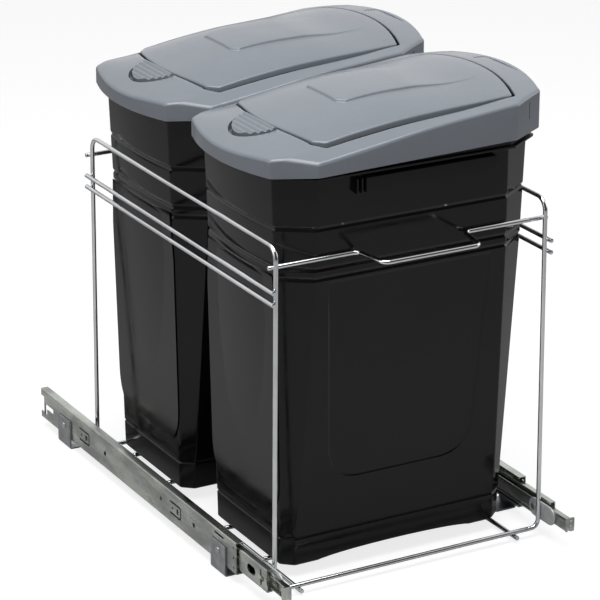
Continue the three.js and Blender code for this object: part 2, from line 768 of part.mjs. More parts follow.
// sides that part a little upwards, and round lower corners
function panelOutline({ foot, halfAtFoot, halfAtTop }, top) {
  const half = (height) => THREE.MathUtils.mapLinear(height, foot, top, halfAtFoot, halfAtTop);
  const start = new THREE.Vector2(half(foot + panelCorner), foot + panelCorner);
  const corner = new THREE.Vector2(halfAtFoot, foot);
  const end = new THREE.Vector2(halfAtFoot - panelCorner, foot);
  const right = new THREE.QuadraticBezierCurve(start, corner, end).getPoints(3).map(({ x, y }) => [x, y]);
  const rightSide = [[halfAtTop, top], ...right];
  return [...rightSide, ...rightSide.map(([across, height]) => [-across, height]).reverse()].reverse();
}

// the arch under the front and back of the foot ring
function footArchCut() {
  const halfSpan = baseHalfLength - baseCutLength - footArchInset;
  const shape = new THREE.Shape();
  shape.moveTo(-halfSpan, -1);
  shape.lineTo(-halfSpan, 0);
  shape.quadraticCurveTo(0, 2 * footArch, halfSpan, 0);
  shape.lineTo(halfSpan, -1);
  const reach = baseHalfDepth + baseSetback + 10;
  return barAlongY(shape, -reach, reach, 6);
}

// the grip on a long side: a lip carried on end blocks and a floor, open at the top
function grip(face) {
  const halfDepth = THREE.MathUtils.lerp(baseHalfDepth, rimHalfDepth, gripHeight / binHeight);
  const root = binAxis(gripHeight) + face * (halfDepth - binWall / 2);
  const tip = root + face * (binWall / 2 + gripReach);
  const [low, high] = [Math.min(root, tip), Math.max(root, tip)];
  const outside = prism(rectangle(gripStart, low, gripEnd, high), gripHeight, gripHeight + gripLip);
  const pocketRoot = root + face * (binWall / 2 + 0.5);
  const pocketTip = tip - face * binWall;
  const [near, far] = [Math.min(pocketRoot, pocketTip), Math.max(pocketRoot, pocketTip)];
  const hand = rectangle(gripStart + gripEndBlock, near, gripEnd - binWall, far);
  return cut(outside, prism(hand, gripHeight + binWall, gripHeight + gripLip + 1));
}

// ---------------------------------------------------------------- lids

// height of the lid's outer skin above the foot of the bin
function skin(x, y) {
  const across = Math.abs(y) / openingHalfDepth;
  const arch = binHeight + shoulder(x) + crown(x) * (1 - (y / lidHalfDepth) ** 2);
  if (across < 1) return arch + dome(x) * (1 - across ** domePower);
  const border = lidHalfDepth - openingHalfDepth;
  return arch - (edgeDrop(x) * (Math.abs(y) - openingHalfDepth)) / border;
}

// height of the flap's outer skin, whose long edges stand above the border
function flapSkin(x, y) {
  return skin(x, y) + flapRise(x) * (Math.abs(y) / openingHalfDepth) ** domePower;
}

const lidEnd = lidHalfLength + lidBow + 2;
const lidEdge = lidHalfDepth + 2;
const lidStations = spread([-lidEnd, openingLeft, 0, openingRight, lidEnd], [4, 4, 4, 3]);
const acrossStations = spread([-lidEdge, -openingHalfDepth, 0, openingHalfDepth, lidEdge], [1, 4, 4, 1]);
const lidFloor = lidSeat - 5;
const lidCeiling = lidSeat + lidHalfDepth; // above every lid piece
const lidBlock = (topAt, bottomAt) => block(lidStations, acrossStations, topAt, bottomAt);
const below = (drop) => (x, y) => skin(x, y) - drop;
const lidPlan = (inset) => {
  const [halfLength, halfDepth] = [lidHalfLength - inset, lidHalfDepth - inset];
  return new THREE.Shape(cutCornerPlan(halfLength, halfDepth, lidCutLength, lidCutDepth, lidBow));
};

// the opening that the flap closes, made smaller by an inset
function openingPlan(inset) {
  const [left, right, half] = [openingLeft + inset, openingRight - inset, openingHalfDepth - inset];
  const corner = openingCorner - inset / 2;
  const hingeCorner = corner / 4;
  const at = (x, y) => new THREE.Vector2(x, y);
  return new THREE.Shape([
    ...bowed(at(left, half - corner), at(left, corner - half), openingLeftBow, 8),
    at(left, corner - half),
    at(left + corner * 0.3, corner * 0.3 - half),
    at(left + corner, -half),
    at(right - hingeCorner, -half),
    ...bowed(at(right, hingeCorner - half), at(right, half - hingeCorner), openingRightBow, 8),
    at(right, half - hingeCorner),
    at(right - hingeCorner, half),
    at(left + corner, half),
    at(left + corner * 0.3, half - corner * 0.3),
  ]);
}

// the half-round latch seen from above, grown all round and swept away from the flap
function latchPlan(grow, run) {
  const straight = openingLeft - openingLeftBow + 1;
  const shape = new THREE.Shape();
  const [half, length] = [latchHalfWidth + grow, latchLength + grow];
  shape.moveTo(straight + grow, -half);
  shape.lineTo(straight + grow, half);
  shape.lineTo(straight - run, half);
  shape.absellipse(straight - run, 0, length, half, Math.PI / 2, 1.5 * Math.PI);
  return shape;
}

function lidFrame() {
  const outside = prism(lidPlan(0), lidFloor, lidCeiling).intersect(lidBlock(skin, () => lidFloor - 5));
  const under = prism(lidPlan(lidSkin), lidFloor - 10, lidCeiling);
  const inside = under.intersect(lidBlock(below(lidSkin), () => lidFloor - 10));
  const tray = prism(latchPlan(clearance + 1.5, latchTravel), lidFloor, lidCeiling).intersect(
    lidBlock(below(0.5), below(latchDepth + 2)),
  );
  const pocket = prism(latchPlan(clearance, latchTravel), lidFloor, lidCeiling).intersect(
    lidBlock(below(-10), below(latchDepth)),
  );
  const ribs = seatRibs().map((rib) => rib.intersect(outside));
  const shell = joined(cut(outside, inside, belowSkirt()), tray, ...ribs, ...hingeSeats());
  const opening = prism(openingPlan(0), lidFloor, lidCeiling);
  const pinBore = hingeBore(hingePinDiameter / 2 + clearance, 2 * openingHalfDepth + 8);
  return cut(shell, opening, pocket, pinBore, labelCut(), ...drainCuts());
}

// all that is under the skirt's edge, which climbs to the hinge end
function belowSkirt() {
  const slant = Math.atan(lidSeatRise / (2 * lidHalfLength));
  const [length, depth, height] = [2.5 * lidEnd, 2.5 * lidEdge, lidEdge / 2];
  const under = new THREE.BoxGeometry(length, depth, height).translate(0, 0, -height / 2);
  return solid(under.rotateY(-slant).translate(0, 0, lidSeat + lidSeatRise / 2));
}

// the shallow recess in the border at the hinge end, round at its inner corners
function labelCut() {
  const [start, end, half] = [labelStart, labelStart + labelLength, labelHalfWidth];
  const shape = new THREE.Shape();
  shape.moveTo(end, half);
  shape.lineTo(start + labelCorner, half);
  shape.quadraticCurveTo(start, half, start, half - labelCorner);
  shape.lineTo(start, labelCorner - half);
  shape.quadraticCurveTo(start, -half, start + labelCorner, -half);
  shape.lineTo(end, -half);
  return prism(shape, lidFloor, lidCeiling, 3).intersect(lidBlock(below(-5), below(labelDepth)));
}

// an upright slot through the skirt at each cut corner of the hinge end
function drainCuts() {
  const [cornerX, cornerY] = [lidHalfLength - lidCutLength / 2, lidHalfDepth - lidCutDepth / 2];
  const top = skin(cornerX, cornerY) - drainDrop;
  return [-1, 1].map((end) => {
    const along = new THREE.Vector2(lidCutLength, -end * lidCutDepth).normalize();
    const out = new THREE.Vector2(lidCutDepth, end * lidCutLength).normalize();
    const middle = new THREE.Vector2(cornerX, end * cornerY);
    const [half, reach] = [drainWidth / 2, 2 * lidSkin];
    const corners = [[-half, -reach], [half, -reach], [half, reach], [-half, reach]];
    const plan = corners.map(([a, b]) => middle.clone().addScaledVector(along, a).addScaledVector(out, b));
    return prism(new THREE.Shape(plan), top - drainHeight, top);
  });
}

// ribs under the border, which rest on the rim of the bin
function seatRibs() {
  const [near, far] = [rimHalfDepth, rimHalfDepth + rimStep + 1];
  const start = (seatRibSpacing - seatRibThickness) / 2;
  const end = start + seatRibThickness;
  return [-1, 1].flatMap((face) =>
    [-1, 1].map((half) => {
      const [x0, x1] = half > 0 ? [start, end] : [-end, -start];
      const [y0, y1] = face > 0 ? [near, far] : [-far, -near];
      return prism(rectangle(x0, y0, x1, y1), binHeight + clearance, lidCeiling);
    }),
  );
}

// a round bar or bore on the hinge axis
function hingeBore(radius, length, middle = 0) {
  return barAlongY(disc(hingeX, hingeHeight, radius), middle - length / 2, middle + length / 2, 5);
}

// the two bosses under the border that hold the ends of the hinge pin
function hingeSeats() {
  return [-1, 1].map((end) => {
    const [near, far] = [openingHalfDepth + 0.2, openingHalfDepth + 6];
    const half = hingeBarrelDiameter / 2;
    const top = skin(hingeX, far) - lidSkin / 3;
    const shape = rectangle(hingeX - half, hingeHeight - half, hingeX + half, top);
    return end > 0 ? barAlongY(shape, near, far) : barAlongY(shape, -far, -near);
  });
}

function flap() {
  const outline = prism(openingPlan(flapGap), lidFloor, lidCeiling);
  const shell = outline.intersect(lidBlock(flapSkin, below(lidSkin)));
  const half = hingeBarrelDiameter / 2;
  const barrels = [-1, 1].flatMap((end) => {
    const middle = end * hingeBarrelOffset;
    const [from, to] = [middle - hingeBarrelLength / 2, middle + hingeBarrelLength / 2];
    const neck = rectangle(hingeX - half, hingeHeight, hingeX + half, skin(hingeX, middle) - lidSkin / 2);
    return [hingeBore(half, hingeBarrelLength, middle), barAlongY(neck, from, to)];
  });
  const pinBore = hingeBore(hingePinDiameter / 2 + clearance, 2 * openingHalfDepth);
  return cut(joined(shell, island(), ...barrels), pinBore);
}

// the raised panel on the flap, which fades into it towards the hinge
function island() {
  const [start, end, half, corner] = [islandStart, islandEnd, islandHalfDepth, islandCorner];
  const upper = [[end, half], [start + corner, half], [start, half - corner]];
  const outline = shapeOf([...upper, ...upper.map(([x, y]) => [x, -y]).reverse()]);
  const fade = (x) => islandHeight * THREE.MathUtils.clamp((end - corner - x) / islandFade, 0, 1);
  return prism(outline, lidFloor, lidCeiling).intersect(
    lidBlock((x, y) => flapSkin(x, y) + fade(x), below(lidSkin / 2)),
  );
}

// the sliding latch: a half-round thumb piece with ribs across its travel
function latch() {
  const straight = openingLeft - openingLeftBow + 1;
  const pitch = latchLength / latchRibs;
  const top = (x) => skin(x, 0) + 1;
  const floor = (x) => skin(x, 0) - latchDepth + clearance;
  const ribs = [];
  for (let rib = 0; rib < latchRibs; rib++) {
    const x = straight - rib * pitch;
    const crest = x - pitch * 0.55;
    ribs.push([x, top(x)], [crest, top(crest)], [x - pitch * 0.7, top(x) - latchRibHeight]);
  }
  const far = straight - latchLength - 1;
  const section = [[far, floor(far)], [straight, floor(straight) + 1.2], ...ribs, [far, top(far) - 1.5]];
  const bar = barAlongY(shapeOf(section), -latchHalfWidth - 1, latchHalfWidth + 1);
  const bed = lidBlock(below(-10), below(latchDepth - clearance));
  return prism(latchPlan(0, 0), lidFloor, lidCeiling, 8).intersect(bar).intersect(bed);
}

// ---------------------------------------------------------------- the unit

const unit = new THREE.Group();
const slides = new THREE.Group();
const basket = new THREE.Group();
unit.add(slides, basket);

for (const { side, sign } of sides) {
  piece(slides, `slide_outer_${side}`, outerMember(sign), zinc);
  piece(slides, `slide_middle_${side}`, middleMember(sign), zinc);
  piece(slides, `slide_inner_${side}`, innerMember(sign), zinc);
  const outerCage = ballCage(sign, sheet + clearance, outerBallDepth, outerRow, outerCageMiddle);
  const innerCage = ballCage(sign, middleWeb + sheet + clearance, innerBallDepth, innerRow, innerCageMiddle);
  piece(slides, `ball_cage_outer_${side}`, outerCage, steelBall);
  piece(slides, `ball_cage_inner_${side}`, innerCage, steelBall);
  footPositions().forEach((y, i) => {
    const place = ["front", "rear"][i];
    piece(slides, `foot_${place}_${side}`, foot(sign, y), darkZinc);
    const [inner, outer] = [slideSpan / 2 - sheet, footFace + footSheet];
    piece(slides, `foot_rivet_${place}_${side}`, rivet(sign, y, footRivetHeight, inner, outer), zinc);
  });
  for (const { place, middle, rivet: at } of platePositions()) {
    piece(slides, `joining_plate_${place}_${side}`, joiningPlate(sign, middle, at), zinc);
    const [inner, outer] = [plateFace, slideSpan / 2 - slideDepth + sheet];
    piece(slides, `plate_rivet_${place}_${side}`, rivet(sign, at, slideCentreHeight, inner, outer), zinc);
  }
  piece(slides, `end_plate_${side}`, endPlate(sign), zinc);

  piece(basket, `side_arch_${side}`, sideArch(sign), chrome);
  for (const [level, z] of Object.entries(sideWireHeights)) {
    piece(basket, `side_wire_${level}_${side}`, sideWire(sign, z), chrome);
  }
  piece(basket, `runner_wire_${side}`, runnerWire(sign), chrome);
}
piece(basket, "bottom_wire_front", bottomWire(0), chrome);
piece(basket, "bottom_wire_rear", bottomWire(basketDepth), chrome);
piece(basket, "handle_wire", handleWire(), chrome);
piece(basket, "rear_crossbar", rearCrossbar(), chrome);

["front", "rear"].forEach((place, i) => {
  const middle = frontBinSetback + i * binPitch;
  for (const [n, step] of [["first", -1], ["second", 1]]) {
    const y = middle + baseSetback + step * crossWireInset;
    piece(basket, `cross_wire_${place}_${n}`, crossWire(y), chrome);
  }
  const bin = new THREE.Group();
  bin.position.set(binSidestep[place], middle, binStand);
  piece(bin, `bin_${place}`, binShell(), blackPlastic);
  piece(bin, `lid_frame_${place}`, lidFrame(), greyPlastic);
  piece(bin, `lid_flap_${place}`, flap(), greyPlastic);
  piece(bin, `lid_latch_${place}`, latch(), greyPlastic);
  piece(bin, `hinge_pin_${place}`, hingeBore(hingePinDiameter / 2, 2 * openingHalfDepth + 7), zinc);
  basket.add(bin);
});

// the origin goes under the middle of the unit, on the floor
const frontEnd = innerFront - clearance - endPlateSheet;
unit.position.set(0, -(frontEnd + slideRear) / 2, floorDrop);

export default unit;
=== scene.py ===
# %% [markdown]
# # A pull-out waste unit in Blender
# The unit is a chromed wire basket on a pair of telescopic slides, with two black bins under
# hinged grey lids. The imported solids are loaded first: every piece made here goes where they
# say, rides on the body that it belongs to, and stands for the plain solid that it replaces.

# %% Load the solids
import json
import math

import bpy
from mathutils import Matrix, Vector


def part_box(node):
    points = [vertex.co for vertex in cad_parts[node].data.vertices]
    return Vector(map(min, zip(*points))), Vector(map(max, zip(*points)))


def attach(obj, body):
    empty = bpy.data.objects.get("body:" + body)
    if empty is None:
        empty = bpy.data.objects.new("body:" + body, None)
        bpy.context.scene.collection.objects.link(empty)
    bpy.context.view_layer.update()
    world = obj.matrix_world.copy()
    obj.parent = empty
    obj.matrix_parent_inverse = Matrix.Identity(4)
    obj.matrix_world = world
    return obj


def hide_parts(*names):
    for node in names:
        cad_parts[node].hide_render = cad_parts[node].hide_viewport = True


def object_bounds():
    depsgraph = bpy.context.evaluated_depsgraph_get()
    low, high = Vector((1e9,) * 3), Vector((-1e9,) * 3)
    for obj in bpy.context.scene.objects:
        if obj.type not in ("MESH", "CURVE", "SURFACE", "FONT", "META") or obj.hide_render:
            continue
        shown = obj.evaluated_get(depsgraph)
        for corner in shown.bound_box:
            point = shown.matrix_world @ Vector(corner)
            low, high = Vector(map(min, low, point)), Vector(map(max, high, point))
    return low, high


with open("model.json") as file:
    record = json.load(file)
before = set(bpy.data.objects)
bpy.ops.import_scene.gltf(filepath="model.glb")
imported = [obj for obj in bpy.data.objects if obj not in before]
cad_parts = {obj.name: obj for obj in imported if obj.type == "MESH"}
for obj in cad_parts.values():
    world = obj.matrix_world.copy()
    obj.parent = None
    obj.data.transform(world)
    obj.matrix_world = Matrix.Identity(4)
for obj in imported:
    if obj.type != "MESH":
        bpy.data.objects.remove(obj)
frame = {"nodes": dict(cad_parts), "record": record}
solid_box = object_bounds()
nodes = frame["nodes"]
MM = 0.001
print("solids:", len(nodes), "box:", [tuple(round(c, 4) for c in corner) for corner in solid_box])

# %% [markdown]
# ## The camera
# The camera stands to the left of the unit and a little above it, far enough away for its
# lines to run almost parallel. Its place was found from the wires: the posts, the rails and
# the slides give three directions and many corners with known places. The two datums below
# are the plane of the front posts and the centre line of the front bottom wire, as in the
# drawing of the part, so that the camera keeps its place against the wires.

# %% Camera
front_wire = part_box("bottom_wire_front")
POST_PLANE = (front_wire[0].y + front_wire[1].y) / 2
WIRE_LEVEL = (front_wire[0].z + front_wire[1].z) / 2
CAMERA_FROM_WIRE = Vector((-1.4630, -2.3955, 1.3364))
CAMERA_DOWN = math.radians(20.361)
CAMERA_ASIDE = math.radians(29.017)
FOCAL_PIXELS = 2879.4
PICTURE_WIDTH = 600
SENSOR = 36

bpy.ops.object.camera_add(
    location=CAMERA_FROM_WIRE + Vector((0, POST_PLANE, WIRE_LEVEL)),
    rotation=(math.pi / 2 - CAMERA_DOWN, 0, -CAMERA_ASIDE),
)
camera = bpy.context.object
camera.data.sensor_width = SENSOR
camera.data.lens = FOCAL_PIXELS / PICTURE_WIDTH * SENSOR
bpy.context.scene.camera = camera
print("lens:", round(camera.data.lens, 2), "mm")

# %% [markdown]
# ## Light and floor
# The unit was photographed against white, under large soft lights from above and from the
# left, with a darker room behind the camera: the glossy black bins show the bright sides at
# their ends and the dark room in their long faces. The world gives that contrast to whatever
# reflects it, and plain pale light to everything else. Worlds, floors and finishes are all
# trees of nodes, so two helpers come first: one adds a node with all that goes into it, and
# one turns part of a value's range into another range.

# %% Node helpers
def add_node(tree, kind, feeds=None, **settings):
    """A new node with its properties or input values set, and its feeds linked to its inputs."""
    node = tree.nodes.new(kind)
    for name, value in settings.items():
        if hasattr(node, name):
            setattr(node, name, value)
        else:
            node.inputs[name.replace("_", " ")].default_value = value
    for socket, source in (feeds or {}).items():
        tree.links.new(source, node.inputs[socket])
    return node


def ramp(tree, value, low, high, to_low=0.0, to_high=1.0):
    """Stretches the part of a value between two limits softly over a new range."""
    limits = {"From_Min": low, "From_Max": high, "To_Min": to_low, "To_Max": to_high}
    node = add_node(tree, "ShaderNodeMapRange", {"Value": value}, interpolation_type="SMOOTHSTEP", **limits)
    return node.outputs[0]


def grey(tone):
    return (tone, tone, tone, 1)


# %% World
ROOM_BEHIND, ROOM_AHEAD = -0.75, 0.1
ROOM_DARK, ROOM_TONE, SOFT_LIGHT = 0.06, 0.8, 0.22

world = bpy.data.worlds.new("studio")
bpy.context.scene.world = world
bpy.context.scene.view_settings.view_transform = "Standard"
world.use_nodes = True
sky = world.node_tree
sky.nodes.clear()
direction = add_node(sky, "ShaderNodeTexCoord").outputs["Generated"]
forwards = add_node(sky, "ShaderNodeSeparateXYZ", {0: direction}).outputs["Y"]
room = ramp(sky, forwards, ROOM_BEHIND, ROOM_AHEAD, ROOM_DARK)
reflected = add_node(sky, "ShaderNodeBackground", {"Strength": room}, Color=grey(ROOM_TONE))
soft = add_node(sky, "ShaderNodeBackground", Strength=SOFT_LIGHT, Color=grey(1))
seen = add_node(sky, "ShaderNodeBackground", Strength=1, Color=grey(1))
ray = add_node(sky, "ShaderNodeLightPath").outputs
lit = {0: ray["Is Glossy Ray"], 1: soft.outputs[0], 2: reflected.outputs[0]}
lit = add_node(sky, "ShaderNodeMixShader", lit).outputs[0]
shown = add_node(sky, "ShaderNodeMixShader", {0: ray["Is Camera Ray"], 1: lit, 2: seen.outputs[0]})
add_node(sky, "ShaderNodeOutputWorld", {"Surface": shown.outputs[0]})
print("world:", world.name)

# %% Lamps
LAMPS = {
    "top lamp": {"place": (-0.3, -0.4, 2.2), "size": 1.6, "power": 44},
    "left lamp": {"place": (-2.2, 0.2, 1.1), "size": 1.2, "power": 5},
    "right lamp": {"place": (2.0, -0.6, 0.9), "size": 1.0, "power": 4},
}
unit_middle = (solid_box[0] + solid_box[1]) / 2
for name, lamp in LAMPS.items():
    towards = unit_middle - Vector(lamp["place"])
    bpy.ops.object.light_add(
        type="AREA", location=lamp["place"], rotation=towards.to_track_quat("-Z", "Y").to_euler()
    )
    bpy.context.object.name = name
    bpy.context.object.data.size = lamp["size"]
    bpy.context.object.data.energy = lamp["power"]
print("lamps:", list(LAMPS))

# %% [markdown]
# The floor glows a little where the camera sees it, so that it meets the white behind it, and
# takes the unit's shadow. What it bounces back at the unit is plain grey.

# %% Floor
FLOOR_SIZE, FLOOR_DROP = 12, 0.0002
FLOOR_TONE, FLOOR_GLOW, BOUNCE_TONE = 0.34, 0.8, 0.5

bpy.ops.mesh.primitive_plane_add(size=FLOOR_SIZE, location=(0, 0, -FLOOR_DROP))
floor = bpy.context.object
floor.name = "floor"
paper = bpy.data.materials.new("white floor")
paper.use_nodes = True
tree = paper.node_tree
tree.nodes.clear()
matte = add_node(tree, "ShaderNodeBsdfDiffuse", Color=grey(FLOOR_TONE))
glow = add_node(tree, "ShaderNodeEmission", Strength=FLOOR_GLOW)
lit = add_node(tree, "ShaderNodeAddShader", {0: matte.outputs[0], 1: glow.outputs[0]}).outputs[0]
bounced = add_node(tree, "ShaderNodeBsdfDiffuse", Color=grey(BOUNCE_TONE)).outputs[0]
camera_ray = add_node(tree, "ShaderNodeLightPath").outputs["Is Camera Ray"]
shown = add_node(tree, "ShaderNodeMixShader", {0: camera_ray, 1: bounced, 2: lit})
add_node(tree, "ShaderNodeOutputMaterial", {"Surface": shown.outputs[0]})
floor.data.materials.append(paper)
print("floor:", FLOOR_SIZE, "m across")

# %% [markdown]
# ## Surface effects
# Plated steel and moulded plastic are never one even colour. Five effects recur: a cloudy
# change of tone, a fine grain that breaks up reflections, scratches from handling, dust that
# settles on faces that look up, and paler edges: worn on the zinc and the black plastic, and
# a painted highlight along the edges of the grey plastic. Each is built once as a node group
# with its own inputs and placed in every finish that shows it. The groups put out only what
# changes over a surface. Plain numbers stay on the shader of each finish, where the export
# can read them. Patterns are laid on object coordinates, so they keep their real size.

# %% Group helpers
EVEN = (1.0, 1.0, 1.0)


def new_group(name, inputs, outputs):
    """An empty node group with its sockets, and what its own inputs give inside it."""
    group = bpy.data.node_groups.new(name, "ShaderNodeTree")
    kind_of_size = {1: "Float", 3: "Vector", 4: "Color"}
    for socket, value in inputs.items():
        kind = kind_of_size[len(value) if isinstance(value, tuple) else 1]
        made = group.interface.new_socket(socket, in_out="INPUT", socket_type=f"NodeSocket{kind}")
        made.default_value = value
    for socket, kind in outputs.items():
        group.interface.new_socket(socket, in_out="OUTPUT", socket_type=f"NodeSocket{kind}")
    return group, group.nodes.new("NodeGroupInput").outputs


def surface_place(group):
    return add_node(group, "ShaderNodeTexCoord").outputs["Object"]


def stretched_place(group, stretch):
    feeds = {0: surface_place(group), 1: stretch}
    return add_node(group, "ShaderNodeVectorMath", feeds, operation="MULTIPLY").outputs[0]


def noise(group, place, scale, **settings):
    """The changing value of a cloudy pattern at a place."""
    feeds = {"Vector": place, "Scale": scale}
    return add_node(group, "ShaderNodeTexNoise", feeds, **settings).outputs["Fac"]


def times(group, first, second):
    return add_node(group, "ShaderNodeMath", {0: first, 1: second}, operation="MULTIPLY").outputs[0]


# %% Cloudy tone
cloudy, given = new_group(
    "cloudy tone",
    {"Scale": 40.0, "Stretch": EVEN, "First": (1, 1, 1, 1), "Second": (0, 0, 0, 1)},
    {"Color": "Color", "Mask": "Float"},
)
place = stretched_place(cloudy, given["Stretch"])
mask = ramp(cloudy, noise(cloudy, place, given["Scale"], Detail=5.0, Roughness=0.6), 0.35, 0.65)
feeds = {0: mask, 6: given["First"], 7: given["Second"]}
blend = add_node(cloudy, "ShaderNodeMix", feeds, data_type="RGBA")
add_node(cloudy, "NodeGroupOutput", {"Color": blend.outputs[2], "Mask": mask})

# %% Fine grain
GRAIN_RELIEF = 0.0002
inputs = {"Scale": 900.0, "Stretch": EVEN, "Depth": 0.1}
grain, given = new_group("fine grain", inputs, {"Normal": "Vector"})
specks = noise(grain, stretched_place(grain, given["Stretch"]), given["Scale"], Detail=3.0)
feeds = {"Height": specks, "Strength": given["Depth"]}
relief = add_node(grain, "ShaderNodeBump", feeds, Distance=GRAIN_RELIEF)
add_node(grain, "NodeGroupOutput", {"Normal": relief.outputs["Normal"]})

# %% Scratches
SCRATCH_PULLS = ((1.0, 14.0, 9.0), (12.0, 1.2, 7.0))
SCRATCH_TURN = (0.3, 0.2, 0.5)
scratches, given = new_group("scratches", {"Scale": 60.0, "Amount": 0.5}, {"Mask": "Float"})
layers = []
for pull in SCRATCH_PULLS:
    feeds = {"Vector": surface_place(scratches)}
    turned = add_node(scratches, "ShaderNodeMapping", feeds, Scale=pull, Rotation=SCRATCH_TURN)
    lines = noise(scratches, turned.outputs[0], given["Scale"], Detail=2.0)
    layers.append(ramp(scratches, lines, 0.66, 0.74))
either = add_node(scratches, "ShaderNodeMath", dict(enumerate(layers)), operation="MAXIMUM").outputs[0]
add_node(scratches, "NodeGroupOutput", {"Mask": times(scratches, either, given["Amount"])})

# %% Settled dust
dust, given = new_group("settled dust", {"Scale": 120.0, "Amount": 0.3}, {"Mask": "Float"})
normal = add_node(dust, "ShaderNodeNewGeometry").outputs["Normal"]
upward = add_node(dust, "ShaderNodeSeparateXYZ", {0: normal}).outputs["Z"]
flecks = noise(dust, surface_place(dust), given["Scale"], Detail=8.0, Roughness=0.7)
patches = times(dust, ramp(dust, flecks, 0.42, 0.7), ramp(dust, upward, 0.45, 0.95))
add_node(dust, "NodeGroupOutput", {"Mask": times(dust, patches, given["Amount"])})

# %% Paler edges: wear, and a painted highlight
# Paler edges are wear on the zinc and the black plastic; on the grey plastic they are a painted highlight.
edge_wear_and_highlight, given = new_group("worn_and_highlit_edges", {"Radius": 0.001, "Amount": 0.5}, {"Mask": "Float"})
softened = add_node(edge_wear_and_highlight, "ShaderNodeBevel", {"Radius": given["Radius"]}, samples=4).outputs[0]
flat = add_node(edge_wear_and_highlight, "ShaderNodeNewGeometry").outputs["True Normal"]
alike = add_node(edge_wear_and_highlight, "ShaderNodeVectorMath", {0: softened, 1: flat}, operation="DOT_PRODUCT")
bent = ramp(edge_wear_and_highlight, alike.outputs["Value"], 0.98, 0.8)
add_node(edge_wear_and_highlight, "NodeGroupOutput", {"Mask": times(edge_wear_and_highlight, bent, given["Amount"])})
print("effects:", [group.name for group in bpy.data.node_groups])

# %% [markdown]
# ## Finishes
# Every finish is a Principled shader with its plain numbers on its own sockets. The groups
# then change its colour and its roughness over the surface: cloudy tone between two close
# colours, scratches that are duller, paler edges that are wear on the zinc and the black
# plastic and a painted highlight on the grey plastic, and a little pale dust.

# %% How a finish is put together
DUST_TONE = (0.5, 0.5, 0.5)
SCRATCH_ROUGHNESS, DUST_ROUGHNESS = 0.25, 0.4


def place_group(tree, group, **values):
    """Puts a group in a material with its own values, and gives what it puts out."""
    return add_node(tree, "ShaderNodeGroup", node_tree=group, **values).outputs


def laid_over(tree, color, mask, tone):
    """A tone laid over a colour, where the mask is."""
    over = add_node(tree, "ShaderNodeMix", {0: mask, 6: color}, data_type="RGBA")
    over.inputs[7].default_value = (*tone, 1)
    return over.outputs[2]


def rougher(tree, rough, mask, amount):
    """Roughness with an amount added to it, where the mask is."""
    more = add_node(tree, "ShaderNodeMath", {0: mask, 2: rough}, operation="MULTIPLY_ADD")
    more.inputs[1].default_value = amount
    return more.outputs[0]


def finish(
    name, first, second, rough, *, clouds, grain_scale, depth, scratch, metallic=0.0, specular=0.5,
    cloud_stretch=EVEN, grain_stretch=EVEN, wear_and_highlight_amount=0.0, wear_and_highlight_tone=None, dusty=0.0,
):
    """A Principled material whose tone and roughness wander between two values each."""
    material = bpy.data.materials.new(name)
    material.use_nodes = True
    tree = material.node_tree
    shader = tree.nodes["Principled BSDF"].inputs
    shader["Metallic"].default_value = metallic
    shader["Specular IOR Level"].default_value = specular
    tones = {"First": (*first, 1), "Second": (*second, 1)}
    tone = place_group(tree, cloudy, Scale=clouds, Stretch=cloud_stretch, **tones)
    fine = place_group(tree, grain, Scale=grain_scale, Stretch=grain_stretch, Depth=depth)
    lines = place_group(tree, scratches, Amount=scratch)
    color = tone["Color"]
    dull = rougher(tree, ramp(tree, tone["Mask"], 0, 1, *rough), lines["Mask"], SCRATCH_ROUGHNESS)
    # Paler edges: wear on most finishes, a painted highlight on the grey plastic.
    if wear_and_highlight_amount:
        color = laid_over(tree, color, place_group(tree, edge_wear_and_highlight, Amount=wear_and_highlight_amount)["Mask"], wear_and_highlight_tone)
    if dusty:
        film = place_group(tree, dust, Amount=dusty)["Mask"]
        color = laid_over(tree, color, film, DUST_TONE)
        dull = rougher(tree, dull, film, DUST_ROUGHNESS)
    for socket, source in {"Base Color": color, "Roughness": dull, "Normal": fine["Normal"]}.items():
        tree.links.new(source, shader[socket])
    return material


# %% The finishes
finish_of_slot = {
    "chrome_wire": finish(
        "bright chrome", (0.84, 0.85, 0.87), (0.76, 0.77, 0.79), (0.06, 0.14),
        metallic=1, clouds=25, grain_scale=500, depth=0.05, scratch=0.4,
    ),
    "zinc_plate": finish(
        "zinc plate", (0.62, 0.65, 0.59), (0.36, 0.37, 0.36), (0.2, 0.34),
        metallic=1, clouds=34, cloud_stretch=(1, 0.45, 1.6), grain_scale=700, depth=0.16,
        grain_stretch=(6, 0.5, 6), scratch=0.8, wear_and_highlight_amount=0.5, wear_and_highlight_tone=(0.8, 0.8, 0.78),
    ),
    "dark_zinc": finish(
        "dull zinc", (0.42, 0.43, 0.45), (0.32, 0.33, 0.35), (0.34, 0.48),
        metallic=1, clouds=60, grain_scale=900, depth=0.2, scratch=0.6,
        wear_and_highlight_amount=0.5, wear_and_highlight_tone=(0.55, 0.56, 0.57),
    ),
    "ball_steel": finish(
        "ball steel", (0.72, 0.73, 0.75), (0.6, 0.61, 0.63), (0.08, 0.16),
        metallic=1, clouds=120, grain_scale=1200, depth=0.05, scratch=0.3,
    ),
    "black_plastic": finish(
        "glossy black plastic", (0.005, 0.0045, 0.005), (0.0065, 0.006, 0.0065), (0.1, 0.17),
        specular=0.32, clouds=14, grain_scale=260, depth=0.05, scratch=0.15,
        wear_and_highlight_amount=0.25, wear_and_highlight_tone=(0.03, 0.03, 0.03), dusty=0.02,
    ),
    # The paler edges of the grey plastic are a painted highlight, where its rolled edges catch the light.
    "grey_plastic": finish(
        "blue-grey plastic", (0.2, 0.222, 0.252), (0.193, 0.214, 0.243), (0.16, 0.23),
        clouds=18, grain_scale=1100, depth=0.08, scratch=0.08,
        wear_and_highlight_amount=0.5, wear_and_highlight_tone=(0.4, 0.42, 0.46), dusty=0.02,
    ),
}
